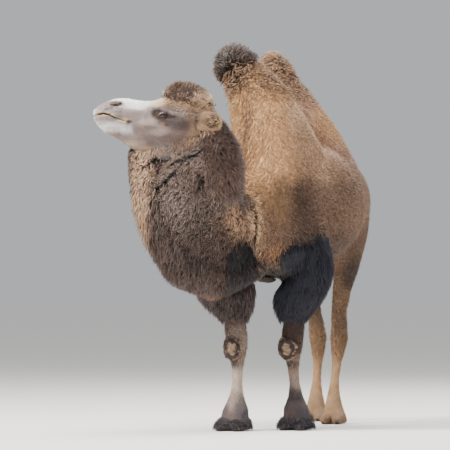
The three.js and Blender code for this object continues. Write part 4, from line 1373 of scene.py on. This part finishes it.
def grow(name, parts, count, length, width, rings, lift, settle, lie, material,
         thick=0.45, hang=0.0, crimp=0.0, waves=1.0, clump=0.02, gather=0.5, stray=0.25,
         root_shade=0.45, tip_highlight=1.15, spread=0.12, mingle=0.007, beyond=OVERSHOOT,
         axis=(0, 0, 1), where=None, placed=None, tone=None, pieces=1, seed=1):
    """Covers some parts of the skin with locks, in one or more pieces.

    A lock is length long and width wide, with some rings of corners. It leaves the skin at the
    angle lift, ends at the angle settle, and follows lie. Hang bends its tip down, and crimp and
    waves make it wavy. Clump is the size of a clump, gather how far its locks lean together, and
    stray how far they stray. Mingle scatters the colours, and beyond lets tips out of the outline.
    """
    global lock_count, coat_triangles
    rng = np.random.default_rng(seed)
    if placed is None:
        points, normals, area = roots_on(parts, count, rng, where)
    else:
        points, normals = placed
        area = count * width**2
    ways = lie(points) + stray * rng.normal(0, 1, (count, 3)) * 0.6
    ways = ways + stray * np.stack([noise(points, clump * 2.2, seed + s) for s in (11, 12, 13)], axis=1)
    ways = unit(ways - (ways * normals).sum(axis=1, keepdims=True) * normals)
    long = length(points) if callable(length) else length
    long = long * (1 + LENGTH_SPREAD * rng.normal(0, 1, count)).clip(0.5, 1.5)
    wide = width * rng.uniform(0.7, 1.3, count)
    # Every lock leans towards the middle of its clump.
    leaders = rng.choice(count, max(8, int(area / clump**2)), replace=count < 9)
    tree = tree_of(points[leaders])
    nearest = np.array([tree.find(p)[1] for p in points])
    leader = leaders[nearest]
    tip_target = points[leader] + ways[leader] * long[:, None] * 0.9
    pull = tip_target - (points + ways * long[:, None] * 0.9)
    pull -= (pull * normals).sum(axis=1, keepdims=True) * normals
    edge = np.clip(np.linalg.norm(points - points[leader], axis=1) / clump, 0, 1.2)
    ways = unit(ways + gather * pull / long[:, None])
    sides = unit(np.cross(normals, ways))
    rise = lift * (1 + 0.25 * rng.normal(0, 1, count)) + 0.12 * noise(points, clump * 1.6, seed + 21)
    phase_share = rng.uniform(0, 1, count)
    phase = phase_share * 2.2 + 3 * noise(points, clump * 3, seed + 22)
    # A lock that would stand out of the animal's true outline is cut shorter.
    for attempt in range(TRIMS + 1):
        middle = points - normals * ROOT_SINK * wide[:, None]
        corners = np.empty((count, 3 * rings + 1, 3))
        part_way = np.empty(3 * rings + 1)
        for r in range(rings + 1):
            t = r / rings
            angle = rise + (settle - rise) * t
            way = ways * np.cos(angle)[:, None] + normals * np.sin(angle)[:, None]
            sway = crimp * np.cos(2 * np.pi * waves * t + phase)
            way = unit(way + hang * t * DOWN + sway[:, None] * sides + 0.5 * sway[:, None] * normals)
            over = unit(np.cross(way, sides))
            over *= np.sign((over * normals).sum(axis=1, keepdims=True) + 1e-9)
            if r == rings:
                corners[:, 3 * rings] = middle
                part_way[3 * rings] = 1.0
                break
            half = (0.5 * wide * (0.75 + 0.6 * t - 1.15 * t * t))[:, None]
            corners[:, 3 * r] = middle - sides * half
            corners[:, 3 * r + 1] = middle + sides * half
            corners[:, 3 * r + 2] = middle + over * half * 2 * thick
            part_way[3 * r : 3 * r + 3] = t
            middle = middle + way * (long / rings)[:, None]
        out_by = body.values_at(body_hull, middle) - beyond * (0.4 + 1.2 * phase_share)
        if attempt == TRIMS or not (out_by > 0).any():
            break
        long = long * np.clip(1 - 1.1 * np.maximum(out_by, 0) / long, 0.3, 1)
    corners[:, :, 2] = corners[:, :, 2].clip(min=GROUND_GAP)
    # Colour: the rule's own, a difference for each lock, painted shade at the root and a painted highlight
    # towards the tip.
    own = (1 + spread * rng.normal(0, 1, count)).clip(0.55, 1.6)[:, None]
    if tone is None:
        # Locks of neighbouring colours mingle, so a marking has no sharp edge.
        colour = coat_colour(points + mingle * rng.normal(0, 1, points.shape)) * own
    else:
        colour = tone * own
    # Each clump is painted paler in its middle and darker at its edges: a painted highlight on the ridge
    # and painted shade in the gaps.
    colour *= (1.12 - 0.45 * edge * min(1.0, gather))[:, None]
    shade = root_shade + (tip_highlight - root_shade) * part_way
    colours = colour[:, None, :] * shade[None, :, None]
    faces = lock_faces(rings)
    round_middle = np.arctan2(*(points[:, :2] - points[:, :2].mean(axis=0)).T)
    share = np.argsort(round_middle) if pieces > 1 else np.arange(count)
    made = []
    for number, chosen in enumerate(np.array_split(share, pieces)):
        title = name if pieces == 1 else f"{name}_{number + 1}"
        first = (np.arange(len(chosen)) * (3 * rings + 1))[:, None, None]
        piece = mesh_from(title, corners[chosen].reshape(-1, 3), (faces[None] + first).reshape(-1, 3))
        paint_points(piece, colours[chosen].reshape(-1, 3))
        spot = unwrapped(points[chosen], np.array(axis, float))
        across = np.array([0.0, 1.0, 0.5] * rings + [0.5])
        patch = PATCH * np.stack([across, part_way], axis=1)
        uv = (spot[:, None, :] + patch[None]).reshape(-1, 2)
        layer = piece.data.uv_layers.new(name="OFBake")
        index = np.empty(len(piece.data.loops), np.int32)
        piece.data.loops.foreach_get("vertex_index", index)
        layer.data.foreach_set("uv", uv[index].astype(np.float32).ravel())
        piece.data.materials.append(material)
        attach(piece, "root")
        made.append(piece)
        print(title, len(chosen), "locks,", len(piece.data.polygons), "triangles")
    coat_triangles += count * len(faces)
    lock_count += count
    return made


def tree_of(points):
    """A tree that finds the nearest of some points."""
    tree = KDTree(len(points))
    for number, point in enumerate(points):
        tree.insert(point, number)
    tree.balance()
    return tree


# %% [markdown]
# ### Trunk and humps
# The wool of the back is short and dense, a velvet of little tufts. Very many locks with one ring
# of corners give that for few triangles. Looser tufts stand up along the tops of the humps. Each
# call of grow prints what it made.

# %% Trunk and humps
grow("trunk_wool", ("trunk",), 62000, 0.024, 0.0078, 1, 0.55, 0.15, towards(0, 0.45, -0.9),
     wool, clump=0.016, gather=0.5, stray=0.5, root_shade=0.3, tip_highlight=1.25, spread=0.32,
     mingle=0.014, axis=(0, 1, 0), pieces=2, seed=101)
grow("hump_wool", ("front_hump", "rear_hump"), 32000, 0.024, 0.0077, 1, 0.55, 0.18,
     towards(0, 0.12, -1), wool, clump=0.016, gather=0.5, stray=0.5, root_shade=0.3,
     tip_highlight=1.25, spread=0.3, mingle=0.014, seed=102)
# Loose tufts stand up along the humps' tops, round the mops.
grow("crest_locks", ("front_hump", "rear_hump"), 2600, 0.045, 0.007, 2, 1.0, 0.35, towards(0, 0.3, -1),
     wool, beyond=0.012, hang=0.1, crimp=0.5, clump=0.02, gather=0.6, stray=0.8,
     root_shade=0.3, tip_highlight=1.15, spread=0.3, tone=tint(150, 118, 92), seed=124,
     where=lambda p: ramp(p[:, 2], 1.86, 2.0))

# %% [markdown]
# ### Neck, beard and mane
# The neck carries the longest wool: crimped locks that hang in clumps, part along cracks and grow
# longer down to the beard. Roots in the cracks are left out, and the locks beside them lean away.

# %% Neck, beard and mane
def off_the_cracks(points):
    """No roots inside the cracks."""
    return ramp(crack_distance(points), 0.003, 0.01) + 0.01


def parted(x, y, z):
    """One way all over, but parted along the cracks."""
    return lambda points: unit(np.array((x, y, z), float) + 1.6 * crack_parting(points))


def of_beard(points):
    """One on the beard, and nought elsewhere."""
    return 1.0 * (part_at(points) == OWNERS.index("beard"))


def neck_roots(points):
    """All of the neck, and the top of the beard, but not the cracks."""
    high = ramp(points[:, 2], 1.28, 1.42)
    return off_the_cracks(points) * (1 - of_beard(points) * (1 - high))


grow("neck_wool", ("neck", "beard"), 25000, 0.037, 0.0069, 2, 0.85, 0.12, parted(-0.4, -0.25, -0.85),
     wool, hang=0.2, crimp=0.6, waves=1.1, clump=0.015, gather=0.6, stray=0.5,
     root_shade=0.1, tip_highlight=2.0, spread=0.42, where=neck_roots, pieces=2, seed=103)
grow("beard_locks", ("beard",), 10500, 0.062, 0.0078, 2, 0.95, 0.1, parted(-0.12, -0.1, -1),
     wool, hang=0.6, crimp=0.5, waves=1.2, clump=0.018, gather=0.65, stray=0.4,
     root_shade=0.1, tip_highlight=1.95, spread=0.42, seed=104,
     where=lambda p: ramp(p[:, 2], 1.42, 1.28) * off_the_cracks(p))
grow("mane_locks", ("mane",), 7000, 0.056, 0.0078, 2, 0.9, 0.1, towards(0.0, 0.0, -1),
     wool, hang=0.3, crimp=0.75, waves=1.5, clump=0.02, gather=0.75, stray=0.5, root_shade=0.15,
     tip_highlight=1.9, spread=0.4, seed=105)
grow("throat_wool", ("head", "lower_jaw"), 2200, 0.03, 0.0064, 2, 0.7, 0.1, towards(-0.1, 0.1, -1),
     wool, hang=0.4, crimp=0.4, waves=1.2, clump=0.014, gather=0.6, root_shade=0.3,
     tip_highlight=1.4, spread=0.2, seed=119,
     where=lambda p: ramp(head_place(p)[:, 0], 0.44, 0.4)
     * ramp(head_place(p)[:, 2] + 0.28 * head_place(p)[:, 0], -0.055, -0.075))

# %% [markdown]
# ### Mops on the humps and the crown
# Each hump ends in a mop of curls that fall outwards from its top, and the crown has a forelock.
# They are locks as well, only longer, wavier and more astray.

# %% Mops on the humps and the crown
grow("front_mop", ("front_hump_tuft",), 5600, 0.056, 0.008, 2, 1.0, 0.3,
     from_top((-0.02, -0.3, 2.2), 0.6), wool, hang=0.25, crimp=0.75, waves=1.2, clump=0.024,
     beyond=0.018, gather=0.6, stray=0.8, root_shade=0.25, tip_highlight=1.5, spread=0.3, seed=106)
grow("rear_mop", ("rear_hump_tuft",), 3800, 0.052, 0.008, 2, 0.85, 0.25,
     from_top((0.1, 0.45, 2.2), 1.0), wool, hang=0.3, crimp=0.65, waves=1.2,
     beyond=0.018, clump=0.022, gather=0.6, stray=0.6, root_shade=0.3, tip_highlight=1.3, spread=0.25, seed=107)
grow("forelock_wool", ("forelock",), 4400, 0.046, 0.0066, 2, 1.05, 0.4, along_head(0.6, -0.2),
     wool, beyond=0.016, crimp=0.75, waves=1.1, clump=0.015, gather=0.6, stray=0.9,
     root_shade=0.2, tip_highlight=1.5, spread=0.3, seed=108)
grow("crown_wool", ("head",), 3600, 0.02, 0.0055, 2, 0.6, 0.2, along_head(1, 0.1),
     wool, crimp=0.4, clump=0.012, gather=0.5, stray=0.6, root_shade=0.35, tip_highlight=1.3,
     spread=0.22, seed=118,
     where=lambda p: ramp(head_place(p)[:, 0] - 1.4 * head_place(p)[:, 2].clip(0, 0.08), 0.19, 0.11)
     * ramp(head_place(p)[:, 2] - 0.4 * head_place(p)[:, 0], -0.06, -0.03))

# %% [markdown]
# ### Long hair
# From the elbows to above the knees hangs long, nearly straight hair, black on the left arm. The
# same hair makes the plume low on the neck and the tail's tuft. It leaves the skin flat and then
# bends straight down, as heavy hair does.

# %% Long hair on the arms, and the tail
def arm_length(points):
    """Long above, short below, so that the mass of hair ends round and not in points."""
    return 0.042 + 0.05 * ramp(points[:, 2], 0.64, 0.8)


ARM_HAIR_FROM = 0.64


def above_the_forearm(points):
    """The fore leg above the height where its long hair starts."""
    return ramp(points[:, 2], ARM_HAIR_FROM - 0.02, ARM_HAIR_FROM + 0.02)


def of_arm(points):
    """The fore leg above the forearm, and the elbow's corner of the trunk."""
    elbow = np.linalg.norm((points - (0.43, -0.44, 0.99)) / (0.14, 0.16, 0.075), axis=1)
    of_trunk = part_at(points) == OWNERS.index("trunk")
    return np.where(of_trunk, ramp(elbow, 1.15, 0.6), above_the_forearm(points))


grow("arm_locks_left", ("arm_hair_left", "front_left_upper_leg", "trunk"), 7600, arm_length, 0.0085,
     2, 0.55, -0.1, towards(0.0, 0.0, -1), long_hair, hang=0.9, crimp=0.14, clump=0.02,
     gather=0.6, stray=0.16, root_shade=0.4, tip_highlight=2.1, spread=0.35, tone=INK, seed=109, where=of_arm)
grow("arm_locks_right", ("arm_hair_right", "front_right_upper_leg"), 5600, arm_length, 0.0085, 2, 0.55,
     -0.1, towards(-0.1, 0.0, -1), long_hair, tone=tint(64, 53, 52), hang=0.9, crimp=0.25,
     clump=0.02, gather=0.6, stray=0.25, root_shade=0.35, tip_highlight=1.6, spread=0.3, seed=110,
     where=above_the_forearm)
grow("plume", ("beard", "neck"), 1300, 0.1, 0.009, 3, 0.6, 0.0, towards(0.1, 0.0, -1),
     long_hair, tone=tint(26, 22, 25), hang=1.0, crimp=0.2, clump=0.022, gather=0.7, stray=0.15,
     root_shade=0.3, tip_highlight=1.5, spread=0.3, seed=123,
     where=lambda p: 1.0 * (np.linalg.norm((p - (0.15, -0.76, 0.93)) / (0.08, 0.14, 0.15), axis=1) < 1))
grow("tail_hair", ("tail",), 3000, 0.03, 0.0062, 2, 0.45, 0.1, towards(0, 0.1, -1),
     wool, hang=0.3, crimp=0.3, stray=0.4, root_shade=0.3, spread=0.28, mingle=0.014, seed=111)
grow("tail_locks", ("tail_tuft",), 900, 0.08, 0.008, 3, 0.4, 0.0, towards(0, 0.05, -1),
     long_hair, hang=0.8, crimp=0.1, root_shade=0.4, tip_highlight=1.2, seed=112)

# %% [markdown]
# ### Legs and feet
# The legs' hair is short and lies flat. The thighs have the longest of it, the shanks and feet
# less, and the knees' calluses none. The fore feet have a fringe that spreads over the toes.

# %% Legs and feet
UPPER = [f"{leg}_upper_leg" for leg in ("front_left", "front_right", "hind_left", "hind_right")]
LOWER = [name.replace("upper", "lower") for name in UPPER]
FEET = [name.replace("upper_leg", "foot") for name in UPPER]
CALLUSES = np.array([(0.326, -0.43, 0.455), (0.055, -0.605, 0.46)])


def off_the_calluses(points):
    """No hair on the knees' bare calluses and the wrinkled skin round them."""
    far = [np.linalg.norm((points - middle) / (0.052, 0.06, 0.074), axis=1) for middle in CALLUSES]
    return ramp(np.minimum(*far), 0.9, 1.1)


grow("thigh_hair", UPPER, 17000, 0.02, 0.0062, 1, 0.42, 0.12, towards(0, 0.1, -1),
     short_hair, clump=0.014, gather=0.5, stray=0.5, root_shade=0.4, tip_highlight=1.25, spread=0.26,
     mingle=0.014, where=off_the_calluses, seed=113)
grow("shank_hair", LOWER, 9000, 0.011, 0.0038, 1, 0.28, 0.08, towards(0, 0, -1),
     short_hair, clump=0.01, gather=0.4, root_shade=0.7, spread=0.14, where=off_the_calluses, seed=114)
grow("foot_hair", FEET, 8000, 0.01, 0.0036, 1, 0.26, 0.06, towards(0, -0.1, -1),
     short_hair, clump=0.01, gather=0.3, root_shade=0.7, spread=0.16, mingle=0.01, seed=115,
     where=lambda p: ramp(p[:, 2], 0.012, 0.03))


def outwards(points):
    """Down and away from the middle of the nearest foot."""
    middles = np.array([(x, y) for x, y, toe, spread in SOLES.values()])
    gap = points[:, None, :2] - middles[None]
    flat = gap[np.arange(len(points)), np.argmin(np.linalg.norm(gap, axis=2), axis=1)]
    return unit(np.stack([flat[:, 0], flat[:, 1], np.full(len(points), -0.06)], axis=1))


grow("foot_fringe", FEET[:2], 1800, 0.026, 0.0055, 2, 0.75, 0.3, outwards, long_hair,
     beyond=0.016, hang=0.25, crimp=0.2, clump=0.014, gather=0.6, stray=0.3, root_shade=0.45,
     tip_highlight=1.3, spread=0.25, seed=125,
     where=lambda p: ramp(p[:, 2], 0.014, 0.03) * ramp(p[:, 2], 0.085, 0.05))

# %% [markdown]
# ### Face and ears
# The face has the finest hair, so short that it is hardly more than a nap, and none on the lips.
# The ears have longer hair outside, and pale and dark tufts in their hollows.

# %% Face and ears
def off_the_lips(points):
    """Fewer hairs round the lips, the nostrils and the eyes."""
    place = head_place(points)
    place[:, 1] = np.abs(place[:, 1])
    eye = np.linalg.norm((place - np.array(EYE)) / (1.35, 1.3, 0.9), axis=1)
    nostril = np.linalg.norm((place - (0.552, 0.06, 0.082)) / (0.044, 0.05, 0.0095), axis=1)
    return ramp(eye, 0.022, 0.03) * (1 - ramp(place[:, 0], 0.61, 0.66)) * ramp(nostril, 0.9, 1.15)


grow("face_hair", ("head", "lower_jaw"), 19000, 0.009, 0.0031, 1, 0.28, 0.06, along_head(1, 0.25),
     short_hair, clump=0.009, gather=0.3, stray=0.3, root_shade=0.62, tip_highlight=1.12,
     spread=0.15, mingle=0.0045, axis=tuple(FORWARD), where=off_the_lips, seed=116)
grow("ear_hair", ("ear_left", "ear_right"), 4200, 0.015, 0.0032, 1, 0.5, 0.2, ear_way,
     short_hair, beyond=0.01, clump=0.009, gather=0.3, root_shade=0.55, tip_highlight=1.25, spread=0.16,
     mingle=0.004, axis=tuple(FORWARD), seed=117)


def in_ear(points):
    """Whether a place is inside the hollow of an ear."""
    place = head_place(points)
    place[:, 1] = np.abs(place[:, 1])
    way = np.array(EAR_WAY) / np.linalg.norm(EAR_WAY)
    facing = np.array(EAR_FACING) - np.dot(EAR_FACING, way) * way
    facing /= np.linalg.norm(facing)
    frame_ways = np.array((way, facing, np.cross(way, facing)))
    local = (place - np.array(EAR_HOLLOW)) @ frame_ways.T / np.array(EAR_REACH)
    return 1.0 * (np.linalg.norm(local, axis=1) < 1.12)


EAR_TUFTS = [(CREAM, 150, "ear_pale_hair", 121), (UMBER, 420, "ear_dark_hair", 122)]
for shade, count, title, seed in EAR_TUFTS:
    grow(title, ("ear_left", "ear_right"), count, 0.034, 0.0032, 3, 0.7, 0.3, ear_way,
         long_hair, clump=0.01, gather=0.4, stray=0.45, root_shade=0.6, tip_highlight=1.2, tone=shade,
         axis=tuple(FORWARD), where=in_ear, seed=seed)
print(lock_count, "locks,", coat_triangles, "triangles of coat")

# %% [markdown]
# ## Eyes, pads and nails
# These hard or wet parts stay separate from the skin. An eye is a ball with the clear front bulging a
# little. Its dark iris and the wide pupil are painted on its points. The nails and the callused pads
# are softened copies of their solids, made with the same fields as the skin.

# %% Wet and hard materials
eye_wet = hair_material("eye_wet", 900.0, 0.25, 0.02, 0.0002, 0.14, 0.0)
eye_wet.node_tree.nodes["Principled BSDF"].inputs["Coat Weight"].default_value = 0.35
eye_wet.node_tree.nodes["Principled BSDF"].inputs["Coat Roughness"].default_value = 0.12
eye_wet.node_tree.nodes["Principled BSDF"].inputs["Specular IOR Level"].default_value = 0.5
horn = hair_material("horn", 260.0, 0.5, 0.3, 0.001, 0.6, 0.0)
scab = hair_material("scab", 150.0, 1.1, 0.9, 0.004, 0.8, 0.0)
print("three finishes for eyes, nails and calluses")

# %% [markdown]
# ### Eyes and lashes
# A camel's eye is large, dark and wet, with a wide, level pupil, and its long lashes keep the sand
# out. The ball could be a plain sphere, but a slight bulge in front catches the light better.

# %% Eyes and lashes
def eye_place(side, lengthways, crossways, out_by):
    """A place near an eye, in the directions of its own slit."""
    c, s = math.cos(EYE_SLOPE), math.sin(EYE_SLOPE)
    a = EYE[0] + lengthways * c + crossways * s
    u = EYE[2] + crossways * c - lengthways * s
    a, u, o = np.broadcast_arrays(a, u, EYE[1] + out_by)
    return HEAD_ORIGIN + a[..., None] * FORWARD + side * o[..., None] * LEFT + u[..., None] * UP


# Where the lashes stand: the curve's height, how far out of the rim, how many and how long.
LASHES = [("upper", 46, 0.0112, 0.003, 0.019, -0.5), ("lower", 26, -0.0105, -0.003, 0.009, -1.0)]
for title, side in (("left", 1), ("right", -1)):
    shape = bmesh.new()
    bmesh.ops.create_icosphere(shape, subdivisions=5, radius=1.0)
    ball = np.array([v.co[:] for v in shape.verts])
    ball_faces = np.array([[v.index for v in f.verts] for f in shape.faces])
    shape.free()
    gaze = ball[:, 1]
    swell = 1 + 0.05 * ramp(gaze, 0.78, 1.0)
    reach = EYE_RADIUS * 0.985
    spots = eye_place(side, *(reach * swell * ball[:, k] for k in (0, 2, 1)))
    # The second eye is a mirror image, so its faces are turned round to point outwards.
    if np.linalg.det(np.array([FORWARD, side * LEFT, UP])) < 0:
        ball_faces = ball_faces[:, ::-1]
    eye = mesh_from(f"eyeball_{title}", spots, ball_faces)
    flat = np.hypot(ball[:, 0], ball[:, 2])
    pupil = 1 - ramp(np.hypot(ball[:, 0] / 0.42, ball[:, 2] / 0.2), 0.85, 1.1)
    iris = 1 - ramp(flat, 0.66, 0.76)
    front = (gaze > 0) * 1.0
    colours = np.tile(tint(96, 74, 62), (len(ball), 1))
    colours += (iris * front)[:, None] * (tint(52, 30, 18) - colours)
    colours += (pupil * front)[:, None] * (tint(8, 7, 9) - colours)
    paint_points(eye, colours)
    eye.data.materials.append(eye_wet)
    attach(eye, "root")
    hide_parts(f"eye_{title}")
    rng = np.random.default_rng(131)
    for row, count, edge, rim, length, drop in LASHES:
        place = np.linspace(-0.92, 0.92, count) * HALF_LENGTH + rng.normal(0, 0.0004, count)
        height = -0.001 + edge * (1 - (place / HALF_LENGTH) ** 2) + rim
        bulge = np.sqrt((EYE_RADIUS + LID - 0.001) ** 2 - place**2 - height**2)
        roots = eye_place(side, place, height, bulge)
        normals = np.tile(unit(side * LEFT + 0.1 * UP), (count, 1))
        grow(f"lashes_{row}_{title}", None, count, length, 0.0017, 3, 1.15, 0.35,
             towards(*(drop * UP - 0.15 * FORWARD)), long_hair, clump=0.004, gather=0.2,
             stray=0.12, tone=tint(24, 18, 18), placed=(roots, normals), seed=132)

# %% [markdown]
# ### Calluses and toenails
# A camel rests on horny pads at its knees and chest. Those of the knees have a pale, cracked middle
# in a dark ring. The solids of pads and nails are sampled finely, rounded and made uneven.

# %% Softened copies of pads and nails
def softened_copy(node, title, step, radius, swell, rough, colour_of, material):
    """A finer, rounder copy of a small solid, with a slightly uneven surface."""
    low, high = (np.array(corner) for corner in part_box(node))
    box = Box(low - 0.02, high + 0.02, step, band=0.016)
    field = box.softened(box.sampled(*shell_of(node)), radius) - swell
    x, y, z = np.meshgrid(*[box.low[k] + step * np.arange(box.counts[k]) for k in range(3)], indexing="ij")
    places = np.stack([x.ravel(), y.ravel(), z.ravel()], axis=1)
    bumps = noise(places, 0.012, 141) + 0.6 * noise(places, 0.005, 142)
    field = field + rough * bumps.reshape(box.counts)
    piece = skin_part(title, box, np.maximum(field, -z), 0.0)
    places = points_of(piece)
    colours = colour_of(places, (low + high) / 2, (high - low) / 2)
    paint_points(piece, colours * (1 + 0.25 * noise(places, 0.006, 143))[:, None])
    piece.data.materials.append(material)
    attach(piece, "root")
    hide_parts(node)


CRUST = tint(50, 40, 38)
WORN = tint(156, 131, 107)
CALLUS_RIM = tint(120, 100, 86)


def scabby(places, middle, half):
    """A dark ring round a pale, cracked middle."""
    far = np.hypot((places[:, 0] - middle[0]) / half[0], (places[:, 2] - middle[2]) / half[2])
    far += 0.3 * noise(places, 0.016, 151)
    pale = (1 - ramp(far, 0.3, 0.66)) * (0.62 + 0.38 * noise(places, 0.009, 152))
    colours = CRUST + pale[:, None] * (WORN - CRUST)
    rim = ramp(far, 0.8, 1.05)[:, None]
    return colours + rim * (CALLUS_RIM - colours)


def evenly(shade):
    """The same colour all over."""
    return lambda places, middle, half: np.tile(shade, (len(places), 1))


for side in ("left", "right"):
    softened_copy(f"knee_pad_{side}", f"knee_callus_{side}", 0.0028, 0.006, 0.005, 0.004,
                  scabby, scab)
# The chest callus lies deep under the body, and its even dark colour is painted shade.
softened_copy("chest_pad", "chest_callus", 0.004, 0.007, 0.001, 0.003,
              evenly(tint(48, 38, 34)), scab)
for leg in SOLES:
    for side in ("left", "right"):
        softened_copy(f"{leg}_nail_{side}", f"{leg}_toenail_{side}", 0.002, 0.004, -0.001, 0.0005,
                      evenly(tint(44, 38, 38)), horn)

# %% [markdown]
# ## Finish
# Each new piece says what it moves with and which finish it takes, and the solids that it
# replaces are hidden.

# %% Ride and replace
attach(skin, "root")
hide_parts(*flesh_nodes)
